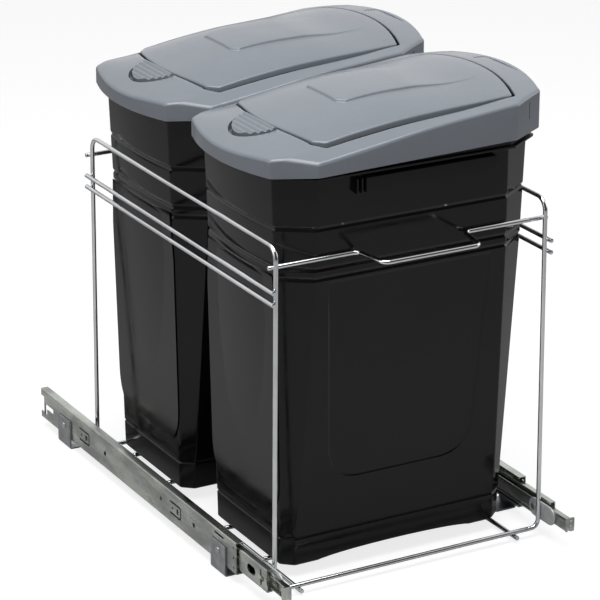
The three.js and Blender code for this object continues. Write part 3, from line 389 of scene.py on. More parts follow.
pale_zinc = finish(
    "pale zinc", (0.72, 0.73, 0.73), (0.62, 0.63, 0.64), (0.42, 0.55),
    metallic=0.5, clouds=90, grain_scale=900, depth=0.15, scratch=0.4,
)
slot_of_node = {entry["node"]: entry["material_slot"] for entry in frame["record"]["subparts"]}
for name, node in nodes.items():
    node.data.materials.clear()
    node.data.materials.append(finish_of_slot[slot_of_node[name]])
print("finished:", len(nodes), "nodes")

# %% [markdown]
# ## Modelling helpers
# Every piece below is started from a primitive or from rings of points. It is then finished
# by the same short steps: its place goes into its mesh, its faces are smoothed, it gets its
# material, and it is hung on the body that carries it. Places are given in millimetres from the datums of the
# drawing: the middle of the basket, the plane of the front posts and the centre line of the
# front bottom wire.

# %% Places
DATUM = Vector((0, POST_PLANE, WIRE_LEVEL))
X, Y, Z = 0, 1, 2
ENDS = (-1, 1)
SIDES = (("left", -1), ("right", 1))
CLEARANCE = 0.3


def at(x, y, z):
    """A place given in millimetres from the datums."""
    return Vector((x, y, z)) * MM + DATUM


def span(node, axis):
    """Lowest and highest coordinate of a solid on an axis, in millimetres from the datums."""
    low, high = (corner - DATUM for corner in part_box(node))
    return low[axis] / MM, high[axis] / MM


def centre_of(node, axis):
    return sum(span(node, axis)) / 2


# %% Selecting and editing
MERGE_DISTANCE = 0.00001


def only(piece):
    """Makes the piece the one that is selected and active."""
    bpy.ops.object.select_all(action="DESELECT")
    bpy.context.view_layer.objects.active = piece
    piece.select_set(True)


def edit(piece):
    """Opens the piece in edit mode with all of it selected."""
    only(piece)
    bpy.ops.object.mode_set(mode="EDIT")
    bpy.ops.mesh.select_all(action="SELECT")


def end_edit():
    bpy.ops.object.mode_set(mode="OBJECT")


def face_outwards(piece):
    """Turns all faces outwards, once their doubled corners are merged."""
    edit(piece)
    bpy.ops.mesh.remove_doubles(threshold=MERGE_DISTANCE)
    bpy.ops.mesh.normals_make_consistent(inside=False)
    end_edit()


# %% Finishing a piece
def finish_piece(piece, name, body, slot, *stands_for, smooth=35, coat=None):
    """Puts the place into the mesh, smooths, colours and hangs the piece on its body."""
    only(piece)
    bpy.ops.object.transform_apply(location=True, rotation=True, scale=True)
    bpy.ops.object.shade_smooth_by_angle(angle=math.radians(smooth))
    piece.name = name
    piece.data.materials.clear()
    piece.data.materials.append(coat or finish_of_slot[slot])
    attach(piece, body)
    if stands_for:
        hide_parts(*stands_for)
    return piece


def apply_modifier(piece, kind, **settings):
    """Adds a modifier, sets it and applies it at once."""
    modifier = piece.modifiers.new(kind.lower(), kind)
    for name, value in settings.items():
        setattr(modifier, name, value)
    only(piece)
    bpy.ops.object.modifier_apply(modifier=modifier.name)


def combine(piece, operation, *others):
    """Cuts, joins or keeps what both share, and takes the other solids away."""
    for other in others:
        apply_modifier(piece, "BOOLEAN", operation=operation, solver="EXACT", object=other)
        bpy.data.objects.remove(other)


def soften(piece, width, segments=2, angle=40):
    """Rounds the sharp edges a little, as moulding and tumbling leave them."""
    shape = {"limit_method": "ANGLE", "miter_outer": "MITER_ARC", "use_clamp_overlap": True}
    limit = math.radians(angle)
    apply_modifier(piece, "BEVEL", width=width * MM, segments=segments, angle_limit=limit, **shape)


# %% Solids from outlines and from rings
def mesh_piece(name, points, faces, edges=()):
    """A new object from points and faces or edges, each point already in its place."""
    mesh = bpy.data.meshes.new(name)
    mesh.from_pydata([tuple(point) for point in points], edges, faces)
    mesh.update()
    piece = bpy.data.objects.new(name, mesh)
    bpy.context.scene.collection.objects.link(piece)
    return piece


def loft(name, rings, around=False):
    """Quads over rings of points: capped at both ends, or going round to the first ring."""
    count = len(rings[0])
    last = len(rings) - 1
    faces = []
    for ring in range(len(rings) if around else last):
        low, high = ring * count, (ring + 1) % len(rings) * count
        for i in range(count):
            j = (i + 1) % count
            faces.append((low + i, low + j, high + j, high + i))
    if not around:
        faces.append(tuple(reversed(range(count))))
        faces.append(tuple(range(last * count, (last + 1) * count)))
    piece = mesh_piece(name, [point for ring in rings for point in ring], faces)
    face_outwards(piece)
    return piece


def prism(name, outline, low, high):
    """An upright prism over an outline in X and Y."""
    return loft(name, [[at(x, y, z) for x, y in outline] for z in (low, high)])


def bar(name, section, front, rear):
    """A bar along Y whose section is drawn in X and Z."""
    return loft(name, [[at(x, y, z) for x, z in section] for y in (front, rear)])


def plate(name, outline, near, far):
    """A plate across X whose outline is drawn in Y and Z."""
    return loft(name, [[at(x, y, z) for y, z in outline] for x in (near, far)])


# %% Curves for outlines
SIDE_SHARE = 0.49
LEAST_REACH = 0.01
NEARLY_STRAIGHT = math.radians(89.5)


def arc(x, y, radius, start, end, steps):
    """Points on an arc, with its angles in degrees."""
    angles = [math.radians(start + (end - start) * i / steps) for i in range(steps + 1)]
    return [(x + radius * math.cos(a), y + radius * math.sin(a)) for a in angles]


def circle(x, y, radius, steps=32):
    return arc(x, y, radius, 0, 360, steps)[:-1]


def rectangle(x0, y0, x1, y1):
    return [(x0, y0), (x1, y0), (x1, y1), (x0, y1)]


def stadium(x, y, length, height, steps=12):
    """A slot with round ends, long along its first axis."""
    run, radius = (length - height) / 2, height / 2
    return arc(x + run, y, radius, -90, 90, steps) + arc(x - run, y, radius, 90, 270, steps)


def rounded(corners, radius, steps=4, closed=True):
    """The outline through some corners, each rounded to the radius or as far as it fits."""
    points = [Vector(corner) for corner in corners]
    outline = []
    for i, corner in enumerate(points):
        if not closed and i in (0, len(points) - 1):
            outline.append(tuple(corner))
            continue
        before = points[i - 1] - corner
        after = points[(i + 1) % len(points)] - corner
        half = before.angle(after) / 2
        wanted = radius[i] if isinstance(radius, list) else radius
        reach = min(wanted / math.tan(half), before.length * SIDE_SHARE, after.length * SIDE_SHARE)
        if reach < LEAST_REACH or half > NEARLY_STRAIGHT:
            outline.append(tuple(corner))
            continue
        first = corner + before.normalized() * reach
        last = corner + after.normalized() * reach
        for k in range(steps + 1):
            t = k / steps
            point = first * (1 - t) ** 2 + corner * 2 * t * (1 - t) + last * t**2
            outline.append(tuple(point))
    return outline


def curve_through(points):
    """A smooth curve through [position, value] points, flat outside them."""

    def slope(i):
        before, after = points[max(i - 1, 0)], points[min(i + 1, len(points) - 1)]
        return (after[1] - before[1]) / (after[0] - before[0])

    def value(x):
        if x <= points[0][0]:
            return points[0][1]
        if x >= points[-1][0]:
            return points[-1][1]
        right = next(i for i, point in enumerate(points) if point[0] > x)
        (x0, y0), (x1, y1) = points[right - 1], points[right]
        span, rise = x1 - x0, y1 - y0
        t = (x - x0) / span
        bulge = (1 - t) * (slope(right - 1) * span - rise) - t * (slope(right) * span - rise)
        return y0 + rise * t + t * (1 - t) * bulge

    return value


# %% [markdown]
# ## The wire basket
# The basket is 5 mm steel wire, bent cold, spot-welded where wires cross and then chromed.
# A bent wire could be a curve with a round bevel, but a tube that is drawn out step by step
# shows how the real one is made: a ring is pulled along each straight run and spun round each
# bend, and the sawn ends are closed and slightly rounded.

# %% A bent wire
WIRE = 5
WIRE_SIDES = 24
BEND_STEPS = 10
SAWN_EDGE = 0.5


def bent_wire(name, corners, bends=()):
    """A round wire through the corners, bent to the given radii, all in millimetres."""
    stops = [at(*corner) for corner in corners]
    runs = [(after - before).normalized() for before, after in zip(stops, stops[1:])]
    bpy.ops.object.select_all(action="DESELECT")
    turned = runs[0].to_track_quat("Z", "Y").to_euler()
    bpy.ops.mesh.primitive_circle_add(
        vertices=WIRE_SIDES, radius=WIRE / 2 * MM, location=stops[0], rotation=turned
    )
    wire = bpy.context.object
    bpy.ops.object.transform_apply(location=True, rotation=True, scale=True)
    edit(wire)
    here = stops[0]
    for i, run in enumerate(runs):
        bend = bends[i] * MM if i < len(bends) else 0
        turn = run.angle(runs[i + 1]) if bend else 0
        cut_back = bend * math.tan(turn / 2)
        stop = stops[i + 1] - run * cut_back
        bpy.ops.mesh.extrude_region_move(TRANSFORM_OT_translate={"value": stop - here})
        if bend:
            axis = run.cross(runs[i + 1]).normalized()
            centre = stop + axis.cross(run) * bend
            bpy.ops.mesh.spin(steps=BEND_STEPS, angle=-turn, center=centre, axis=axis)
            here = stops[i + 1] + runs[i + 1] * cut_back
    bpy.ops.mesh.select_all(action="SELECT")
    bpy.ops.mesh.fill_holes(sides=0)
    bpy.ops.mesh.normals_make_consistent(inside=False)
    bpy.ops.mesh.select_all(action="DESELECT")
    bpy.ops.mesh.select_face_by_sides(number=4, type="GREATER")
    bpy.ops.mesh.bevel(offset=SAWN_EDGE * MM, segments=2)
    end_edit()
    return finish_piece(wire, name + "_chrome", "basket", "chrome_wire", name)


# %% [markdown]
# The sizes of the basket are measured on the solids. The posts lean in a little as they
# rise, and their feet are turned in to meet the bottom wires.

# %% Sizes of the basket
REAR = centre_of("bottom_wire_rear", Y)
TOP = span("side_arch_right", Z)[1] - WIRE / 2
FLOOR_HALF = span("side_arch_right", X)[1] - WIRE / 2
POST_LEAN = 3.1
TOP_BEND, FOOT_BEND = 14, 9
FOOT_STRAIGHT = 4
FOOT_END = FLOOR_HALF - FOOT_BEND - FOOT_STRAIGHT
CROSSED = WIRE + CLEARANCE
print("basket:", round(2 * FLOOR_HALF), "x", round(REAR), "x", round(TOP), "mm")


def post_x(z):
    return FLOOR_HALF - POST_LEAN * z / TOP


def straight_wire(node, x=None, y=None, z=None):
    """A wire as long as its solid, along the one axis for which no place is given."""
    stops = []
    for end in (0, 1):
        place = [x, y, z]
        along = place.index(None)
        place[along] = span(node, along)[end]
        stops.append(place)
    bent_wire(node, stops)


# %% The two side arches and the wires of the floor
for side, sign in SIDES:
    rising = [(sign * FOOT_END, 0, 0), (sign * FLOOR_HALF, 0, 0), (sign * post_x(TOP), 0, TOP)]
    falling = [(x, REAR, z) for x, _, z in reversed(rising)]
    bent_wire(f"side_arch_{side}", rising + falling, [FOOT_BEND, TOP_BEND, TOP_BEND, FOOT_BEND])
    for level in ("upper", "lower"):
        node = f"side_wire_{level}_{side}"
        z = centre_of(node, Z)
        straight_wire(node, x=sign * (post_x(z) + CROSSED), z=z)
    node = f"runner_wire_{side}"
    straight_wire(node, x=centre_of(node, X), z=centre_of(node, Z))

for place, y in (("front", 0), ("rear", REAR)):
    bent_wire(f"bottom_wire_{place}", [(-FOOT_END, y, 0), (FOOT_END, y, 0)])
    for which in ("first", "second"):
        node = f"cross_wire_{place}_{which}"
        straight_wire(node, y=centre_of(node, Y), z=0)

# %% [markdown]
# The wire across the front is bent forwards in the middle, where a hand pulls the basket out.
# A straight bar at the same height ties the posts at the rear.

# %% The pull and the rear crossbar
HANDLE_ROOT, HANDLE_GRIP, HANDLE_BEND = 64, 57, 8
handle_z = centre_of("handle_wire", Z)
handle_half = span("handle_wire", X)[1]
handle_front, handle_back = span("handle_wire", Y)
handle_front, handle_back = handle_front + WIRE / 2, handle_back - WIRE / 2
pull = [(-handle_half, handle_back), (-HANDLE_ROOT, handle_back), (-HANDLE_GRIP, handle_front)]
pull += [(-x, y) for x, y in reversed(pull)]
bent_wire("handle_wire", [(x, y, handle_z) for x, y in pull], [HANDLE_BEND] * 4)
crossbar_y = centre_of("rear_crossbar", Y)
bent_wire("rear_crossbar", [(-handle_half, crossbar_y, handle_z), (handle_half, crossbar_y, handle_z)])

# %% [markdown]
# ## The bins
# Each bin is one injection moulding of black plastic: a tapered container with cut corners,
# a foot ring, a step line near the floor, three grooves, a flange under the rim, recessed
# panels and a moulded grip. Its wall follows a plan that changes with the height, which no
# primitive gives, so the wall is skinned over rings of points. The section of the wall is
# drawn once, with its corners rounded, and every point of it becomes a ring.

# %% Sizes of a bin
BIN_HEIGHT = 454
WALL = 2.2
BASE_HALF, BASE_DEPTH, BASE_CUT = 137, 82, (12.5, 11)
RIM_HALF, RIM_DEPTH, RIM_CUT = 153.5, 102.8, (41, 27.5)
END_BOW = 5
BASE_SETBACK = 11.5
GROOVES = (331, 342, 386)
FLANGE_FOOT, FLANGE_TOP, FLANGE_REACH, RIM_STEP = 439.5, 442.5, 5.5, 2
CORNER_RADIUS = 5


def eight_sided(corners, radius, bows, side_steps, corner_steps=4):
    """An outline through eight corners, counter-clockwise from the front left, softly rounded.

    The right and left ends may bow outwards.
    """
    softened = rounded(corners, radius, corner_steps)
    per_corner = corner_steps + 1
    swells = {3: bows[0], 7: bows[1]}
    outline = []
    for i in range(8):
        arc_points = softened[i * per_corner : (i + 1) * per_corner]
        start = Vector(arc_points[-1])
        end = Vector(softened[(i + 1) * per_corner % len(softened)])
        out = Vector((end.y - start.y, start.x - end.x)).normalized()
        outline += arc_points
        for k in range(1, side_steps):
            t = k / side_steps
            outline.append(tuple(start.lerp(end, t) + out * (4 * swells.get(i, 0) * t * (1 - t))))
    return outline


def cut_corner_plan(half, depth, cut_x, cut_y, bow, radius, side_steps=6):
    """A long plan with cut corners and bowed ends."""
    inner, shallow = half - cut_x, depth - cut_y
    corners = [(-half, -shallow), (-inner, -depth), (inner, -depth), (half, -shallow)]
    corners += [(-x, -y) for x, y in corners]
    return eight_sided(corners, radius, (bow, bow), side_steps)


def mix(start, end, t):
    return start + (end - start) * t


def bin_axis(z):
    """The body leans forward up to its lowest groove and stands plumb above it."""
    return BASE_SETBACK * max(0, 1 - z / GROOVES[0])


def bin_plan(z, offset=0):
    t = z / BIN_HEIGHT
    cut = [mix(low, high, t) for low, high in zip(BASE_CUT, RIM_CUT)]
    half, depth = mix(BASE_HALF, RIM_HALF, t) + offset, mix(BASE_DEPTH, RIM_DEPTH, t) + offset
    plan = cut_corner_plan(half, depth, *cut, END_BOW * t, CORNER_RADIUS)
    return [(x, y + bin_axis(z)) for x, y in plan]


# %% The wall of a bin
SECTION_RADIUS = 0.9


def groove(z, depth=1.2, half=3):
    return [(0, z - half), (-depth, z), (0, z + half)]


# How far each corner of the section stands outside the wall, and its height.
foot_ring = [(-WALL - 1, 6.5), (-WALL - 1, 0), (-1.6, 0), (0, 2.4)]
step_line = groove(33, 1.1, 2)
long_wall = [(0, 110), (0, 200), (0, 280)]
grooves = [corner for z in GROOVES for corner in groove(z)]
flange = [(0, FLANGE_FOOT), (FLANGE_REACH, FLANGE_FOOT), (FLANGE_REACH, FLANGE_TOP), (RIM_STEP, FLANGE_TOP)]
rim = [(RIM_STEP, BIN_HEIGHT), (RIM_STEP - WALL, BIN_HEIGHT)]
inner_wall = [(-WALL, FLANGE_FOOT), (-WALL, GROOVES[0]), (-WALL, 12), (-WALL - 4, 8.7)]
WALL_SECTION = foot_ring + step_line + long_wall + grooves + flange + rim + inner_wall


def bin_body(middle):
    """The wall over its rings, closed by the floor inside and underneath."""
    rings = []
    for offset, z in rounded(WALL_SECTION, SECTION_RADIUS, 3, closed=False):
        rings.append([at(x + middle[0], y + middle[1], z + middle[2]) for x, y in bin_plan(z, offset)])
    return loft("bin_body", rings)


# %% [markdown]
# The panels are pressed into the faces by less than a millimetre. Each is cut with a block
# that lies over the face and reaches that far into it: the rings of the block are the outline
# of the panel, drawn in a little at each step, so that the cut has the sloped edge that lets
# a moulding leave its mould.

# %% Panels
PANEL_DEPTH = 0.9
PANEL_TOP = 326
PANEL_CORNER = 42
PANEL_STATIONS = (280, 220, 160)
PANEL_STEPS = 14
LONG_SIDE, END_SIDE = 2, 1
PANEL_SLOPE = {END_SIDE: 8, LONG_SIDE: 2.4}
PANEL_EDGE = [(1.5, 1), (0, 0), (-0.2, -0.15), (-0.7, -0.8), (-PANEL_DEPTH, -1.1)]
SIDE_PANEL = {"foot": 93, "low": 88, "high": 99}
END_PANEL = {"foot": 57, "low": 67, "high": 68.5}


def panel_outline(foot, low, high):
    """Sides that part a little upwards, and round lower corners."""

    def half(z):
        return mix(low, high, (z - foot) / (PANEL_TOP - foot))

    start = (half(foot + PANEL_CORNER), foot + PANEL_CORNER)
    corner, stop = (low, foot), (low - PANEL_CORNER, foot)
    right = [(high, PANEL_TOP)] + [(half(z), z) for z in PANEL_STATIONS]
    for i in range(PANEL_STEPS + 1):
        t = i / PANEL_STEPS
        parts = zip(start, corner, stop)
        right.append(tuple(a * (1 - t) ** 2 + b * 2 * t * (1 - t) + c * t**2 for a, b, c in parts))
    return right + [(-across, z) for across, z in reversed(right)]


def wall_point(face, across, z, offset, middle):
    """A point over a long side (face +-2) or an end (face +-1) of the bin."""
    t = z / BIN_HEIGHT
    sign = math.copysign(1, face)
    half, depth = mix(BASE_HALF, RIM_HALF, t), mix(BASE_DEPTH, RIM_DEPTH, t)
    if abs(face) == LONG_SIDE:
        return at(middle[0] + across, middle[1] + bin_axis(z) + sign * (depth + offset), middle[2] + z)
    flat = depth - mix(BASE_CUT[1], RIM_CUT[1], t)
    swell = END_BOW * t * (1 - (across / flat) ** 2)
    return at(middle[0] + sign * (half + offset + swell), middle[1] + bin_axis(z) + across, middle[2] + z)


def panel_block(face, outline, middle):
    """The block that presses a panel: over the wall, down its sloped edge, and along its floor."""
    points = [Vector(point) for point in outline]
    centre = sum(z for _, z in outline) / len(outline)
    rings = []
    for offset, share in PANEL_EDGE:
        ring = []
        for i, point in enumerate(points):
            run = (points[(i + 1) % len(points)] - points[i - 1]).normalized()
            across, z = point + Vector((-run.y, run.x)) * (share * PANEL_SLOPE[abs(face)])
            ring.append(wall_point(face, across, z, offset, middle))
        rings.append(ring)
    for scale in (0.8, 0.5, 0.2):
        base = [(across * scale, centre + (z - centre) * scale) for across, z in outline]
        rings.append([wall_point(face, across, z, -PANEL_DEPTH, middle) for across, z in base])
    return loft("panel_block", rings)


# %% [markdown]
# The grip under the flange is a lip on a floor and an end block, open at the top for the
# fingers. It starts as a block, a smaller block is taken from it, and its edges are softened.

# %% Grip
GRIP_FOOT, GRIP_LIP, GRIP_REACH = 420, 16, 8
GRIP_START, GRIP_END, GRIP_BLOCK = -62, 95, 11
GRIP_RIBS, RIB_WIDTH = (-67.5, -73), 1.8


def block_on_bin(name, x_range, y_range, z_range, middle):
    """An upright block, its limits given in millimetres from the middle of the bin's foot."""
    (x0, x1), (y0, y1) = x_range, sorted(y_range)
    plan = [(x + middle[0], y + middle[1]) for x, y in ((x0, y0), (x1, y0), (x1, y1), (x0, y1))]
    return prism(name, plan, z_range[0] + middle[2], z_range[1] + middle[2])


def grip(face, middle):
    """A lip carried on an end block and a floor, open at the top, with two ribs beside it."""
    depth = mix(BASE_DEPTH, RIM_DEPTH, GRIP_FOOT / BIN_HEIGHT)
    root, tip = face * (depth - WALL / 2), face * (depth + GRIP_REACH)
    top = GRIP_FOOT + GRIP_LIP
    block = block_on_bin("grip", (GRIP_START, GRIP_END), (root, tip), (GRIP_FOOT, top), middle)
    inside = (GRIP_START + GRIP_BLOCK, GRIP_END - WALL)
    across = (root + face * (WALL / 2 + 0.5), tip - face * WALL)
    hand = block_on_bin("hand", inside, across, (GRIP_FOOT + WALL, top + 5), middle)
    combine(block, "DIFFERENCE", hand)
    soften(block, 0.7)
    for x in GRIP_RIBS:
        rib = block_on_bin("rib", (x, x + RIB_WIDTH), (root, tip), (GRIP_FOOT, top), middle)
        soften(rib, 0.4)
        combine(block, "UNION", rib)
    return block


# %% [markdown]
# A bin is put together once, at the front: its wall, less the arch and the panels, plus the
# grips. The rear bin is a copy of it.

# %% The two bins
ARCH_HALF, ARCH_RISE, ARCH_REACH, ARCH_STEPS = 94.5, 6, 120, 24


def bin_middle(place):
    """The middle of the foot of a bin, in millimetres from the datums."""
    node = f"bin_{place}"
    return centre_of(node, X), centre_of(node, Y), span(node, Z)[0]


def foot_arch(middle):
    """The shallow arch cut under the long sides of the foot ring."""
    curve = [(ARCH_HALF * x, ARCH_RISE * z) for x, z in arc(0, 0, 1, 0, 180, ARCH_STEPS)]
    section = [(ARCH_HALF, -1), *curve, (-ARCH_HALF, -1)]
    section = [(x + middle[0], z + middle[2]) for x, z in section]
    return bar("arch", section, middle[1] - ARCH_REACH, middle[1] + ARCH_REACH)


def bin_piece(middle):
    """The wall, pressed and arched, with a grip on each long side."""
    body = bin_body(middle)
    side, end = panel_outline(**SIDE_PANEL), panel_outline(**END_PANEL)
    blocks = [foot_arch(middle)]
    for kind, outline in ((LONG_SIDE, side), (END_SIDE, end)):
        blocks += [panel_block(sign * kind, outline, middle) for sign in ENDS]
    combine(body, "DIFFERENCE", *blocks)
    combine(body, "UNION", grip(-1, middle), grip(1, middle))
    return body


STEP_BACK = Vector(bin_middle("rear")) - Vector(bin_middle("front"))


def copy_back(piece):
    """A copy with its own mesh, moved to the rear bin."""
    twin = piece.copy()
    twin.data = piece.data.copy()
    bpy.context.scene.collection.objects.link(twin)
    twin.location = STEP_BACK * MM
    return twin


body = bin_piece(bin_middle("front"))
for place, piece in (("rear", copy_back(body)), ("front", body)):
    finish_piece(piece, f"bin_body_{place}", f"bin_{place}", "black_plastic", f"bin_{place}", smooth=30)
    apply_modifier(piece, "WEIGHTED_NORMAL", keep_sharp=True)
print("bins:", len(body.data.polygons), "faces each")

# %% [markdown]
# ## The lid frames
# A lid frame is one moulding of grey plastic: a skirt with cut corners, a rolled shoulder,
# a border that rises and falls along its length, and a large opening. Sculpting such a skin
# by hand leaves it uneven. Here its heights are written as a few smooth curves along the lid,
# and matching outlines, from the skirt to the opening, are laid on that skin ring by ring.

# %% The skin of a lid
LID_HALF, LID_DEPTH, LID_CUT, LID_BOW = 162.5, 111, (44, 25), 14
LID_CORNER = 8
LID_SKIN = 2.2
DOME_POWER = 2.6
SEAT, SEAT_RISE = BIN_HEIGHT - 10.8, 7
OPENING_LEFT, OPENING_RIGHT, OPENING_DEPTH = -112, 127, 93
OPENING_BOWS = (14, 13)
OPENING_CORNERS, CORNER_SHARE = (12, 2.5), 0.6
SHOULDER_RADIUS, LEAST_CORNER = 3, 2
SIDE_STEPS = 22
LID_BASE = Vector(bin_middle("front"))

shoulder = curve_through(
    [(-176, 5), (-150, 10), (-112, 13.5), (-60, 20.5), (0, 27), (70, 31), (128, 35), (176, 32.5)]
)
dome = curve_through(
    [(-176, 0), (-150, 6), (-125, 10), (-95, 15.5), (-50, 20), (25, 17), (80, 8.5), (140, 2), (176, 0)]
)
edge_drop = curve_through([(-176, 7), (-118, 8), (-60, 8), (0, 5), (40, 2.5), (80, 1), (176, 0.5)])
crown = curve_through([(20, 0), (80, 4), (126, 9), (176, 12)])
flap_rise = curve_through([(-112, 2), (-95, 3.5), (60, 3.5), (105, 1), (124, 0)])


def skin(x, y):
    """Height of the outer skin above the foot of the bin."""
    across = abs(y) / OPENING_DEPTH
    arch = BIN_HEIGHT + shoulder(x) + crown(x) * (1 - (y / LID_DEPTH) ** 2)
    if across < 1:
        return arch + dome(x) * (1 - across**DOME_POWER)
    return arch - edge_drop(x) * (abs(y) - OPENING_DEPTH) / (LID_DEPTH - OPENING_DEPTH)


def seat(x):
    """The skirt's lower edge, which climbs to the hinge end."""
    return SEAT + SEAT_RISE * (x + LID_HALF) / (2 * LID_HALF)


def opening_plan(inset=0):
    """The outline of the opening, drawn in by an inset, with eight matching corners."""
    left, right, half = OPENING_LEFT + inset, OPENING_RIGHT - inset, OPENING_DEPTH - inset
    near, far = OPENING_CORNERS[0] - inset / 2, OPENING_CORNERS[1] - inset / 8
    corners = [(left, near - half), (left + near, -half), (right - far, -half), (right, far - half)]
    corners += [(x, -y) for x, y in reversed(corners)]
    radii = [CORNER_SHARE * corner for corner in (near, near, far, far, far, far, near, near)]
    return eight_sided(corners, radii, OPENING_BOWS, SIDE_STEPS)


def lid_plan(inset=0):
    half, depth = LID_HALF - inset, LID_DEPTH - inset
    radius = max(LID_CORNER - inset, LEAST_CORNER)
    return cut_corner_plan(half, depth, *LID_CUT, LID_BOW, radius, SIDE_STEPS)


def on_bin(x, y, z):
    """A place given in millimetres from the middle of the front bin's foot."""
    return at(x, y, z) + LID_BASE * MM


def on_lid(points, drop=0):
    """Lays an outline on the skin, or that far under it."""
    return [on_bin(x, y, skin(x, y) - drop) for x, y in points]


def at_seat(points, rise=0):
    return [on_bin(x, y, seat(x) + rise) for x, y in points]


def between(outer, inner, t):
    return [(mix(a, c, t), mix(b, d, t)) for (a, b), (c, d) in zip(outer, inner)]


def shrunk(outline, middle, scale):
    return [tuple(middle.lerp(Vector(point), scale)) for point in outline]


# %% The shell of the frame
SKIRT_EDGE = 0.4
SHOULDER_STEPS, BORDER_STEPS, UNDER_STEPS = 5, 8, 6
OPENING_EDGE = [(-0.4, 0.3), (0, 1.2), (0, LID_SKIN)]


def lid_shell():
    """Rings up the skirt, over the shoulder, across the border, and back along the underside."""
    rings = [at_seat(lid_plan(LID_SKIN)), at_seat(lid_plan(SKIRT_EDGE)), at_seat(lid_plan(), SKIRT_EDGE)]
    radius = SHOULDER_RADIUS
    for along, up in arc(0, 0, radius, 0, 90, SHOULDER_STEPS):
        rings.append(on_lid(lid_plan(radius - along), radius - up))
    border, edge = lid_plan(radius), opening_plan(-1.2)
    rings += [on_lid(between(border, edge, t / BORDER_STEPS)) for t in range(1, BORDER_STEPS + 1)]
    rings += [on_lid(opening_plan(inset), drop) for inset, drop in OPENING_EDGE]
    under, edge = lid_plan(radius + LID_SKIN), opening_plan()
    rings += [on_lid(between(edge, under, t / UNDER_STEPS), LID_SKIN) for t in range(1, UNDER_STEPS + 1)]
    rings.append(on_lid(lid_plan(LID_SKIN), radius + LID_SKIN))
    return loft("lid_frame", rings, around=True)


frame_piece = lid_shell()
print("lid shell:", len(frame_piece.data.polygons), "faces")

# %% [markdown]
# Into this shell go the pocket of the latch, a shallow bare label place, two slots in the
# skirt, the bosses of the hinge pin, and four ribs that stand on the rim of the bin. Each is
# a block that is joined to the frame or taken from it.

# %% Cuts and bosses of the frame
LATCH_HALF, LATCH_LENGTH, LATCH_TRAVEL, LATCH_DEPTH = 33, 30, 4, 7
LATCH_EDGE = OPENING_LEFT - OPENING_BOWS[1] + 1
HINGE_X, HINGE_DROP = 118, 6.6
HINGE_Z = skin(HINGE_X, OPENING_DEPTH) - HINGE_DROP
BARREL, PIN = 9, 4
LATCH_STEPS = 32


def upright(name, outline, low, high):
    """An upright block on the front bin."""
    plan = [(x + LID_BASE.x, y + LID_BASE.y) for x, y in outline]
    return prism(name, plan, LID_BASE.z + low, LID_BASE.z + high)


def along_hinge(name, section, start, end):
    """A bar on the front bin, along the hinge."""
    section = [(x + LID_BASE.x, z + LID_BASE.z) for x, z in section]
    return bar(name, section, start + LID_BASE.y, end + LID_BASE.y)


def latch_plan(grow=0, run=0):
    """The half-round latch seen from above, grown all round and swept along its travel."""
    half, length = LATCH_HALF + grow, LATCH_LENGTH + grow
    turned = arc(0, 0, 1, 90, 270, LATCH_STEPS)
    curve = [(LATCH_EDGE - run + length * x, half * y) for x, y in turned]
    return [(LATCH_EDGE + grow, -half), (LATCH_EDGE + grow, half), *curve]


def sloped_prism(name, outline, low, high):
    """A prism whose floor and top are planes along the slope of the lid's middle."""
    ends = (min(x for x, _ in outline), max(x for x, _ in outline))

    def plane(x, drop):
        t = (x - ends[0]) / (ends[1] - ends[0])
        return mix(skin(ends[0], 0), skin(ends[1], 0), t) - drop

    return loft(name, [[on_bin(x, y, plane(x, drop)) for x, y in outline] for drop in (low, high)])


def pressed(outline, depth):
    """A cutter that follows the skin at some depth under it."""
    middle = Vector((sum(x for x, _ in outline), sum(y for _, y in outline))) / len(outline)
    rings = [on_lid(outline, -4)]
    rings += [on_lid(shrunk(outline, middle, scale), depth) for scale in (1, 0.75, 0.5, 0.25, 0.05)]
    return loft("pressed", rings)


def bore(radius, start, end):
    """A round bar on the axis of the hinge."""
    return along_hinge("bore", circle(HINGE_X, HINGE_Z, radius, 24), start, end)


def block_under_skin(x, half, foot, y_near, y_far, skin_y):
    """A block up to the middle of the skin's thickness."""
    start, end = sorted((y_near, y_far))
    top = skin(x, skin_y) - LID_SKIN / 2
    return along_hinge("block", rectangle(x - half, foot, x + half, top), start, end)


# %% [markdown]
# The tray under the latch stops at the opening, so that the flap has room to swing. The
# bosses and ribs stand just outside the opening and over the rim of the bin.

# %% Tray, bosses and ribs
BOSS_NEAR, BOSS_FAR = OPENING_DEPTH + 0.2, OPENING_DEPTH + 6
RIB_X, RIB_HALF, RIB_NEAR, RIB_FAR = 95, 1.5, RIM_DEPTH, RIM_DEPTH + RIM_STEP + 1

tray = sloped_prism("tray", latch_plan(1.8, LATCH_TRAVEL), LATCH_DEPTH + 2, 1.2)
combine(tray, "DIFFERENCE", upright("opening", opening_plan(), SEAT - 5, SEAT + 80))
added = [tray]
for end in ENDS:
    near, far = end * BOSS_NEAR, end * BOSS_FAR
    added.append(block_under_skin(HINGE_X, BARREL / 2, HINGE_Z - BARREL / 2, near, far, BOSS_FAR))
    for x in (-RIB_X, RIB_X):
        foot = BIN_HEIGHT + CLEARANCE
        added.append(block_under_skin(x, RIB_HALF, foot, end * RIB_NEAR, end * RIB_FAR, RIB_FAR))
combine(frame_piece, "UNION", *added)

# %% Label place, slots, pocket and the bore of the pin
LABEL_START, LABEL_LENGTH, LABEL_HALF, LABEL_CORNER, LABEL_DEPTH = 151, 18, 33, 6, 0.5
SLOT_WIDTH, SLOT_HEIGHT, SLOT_DROP = 2, 18, 7

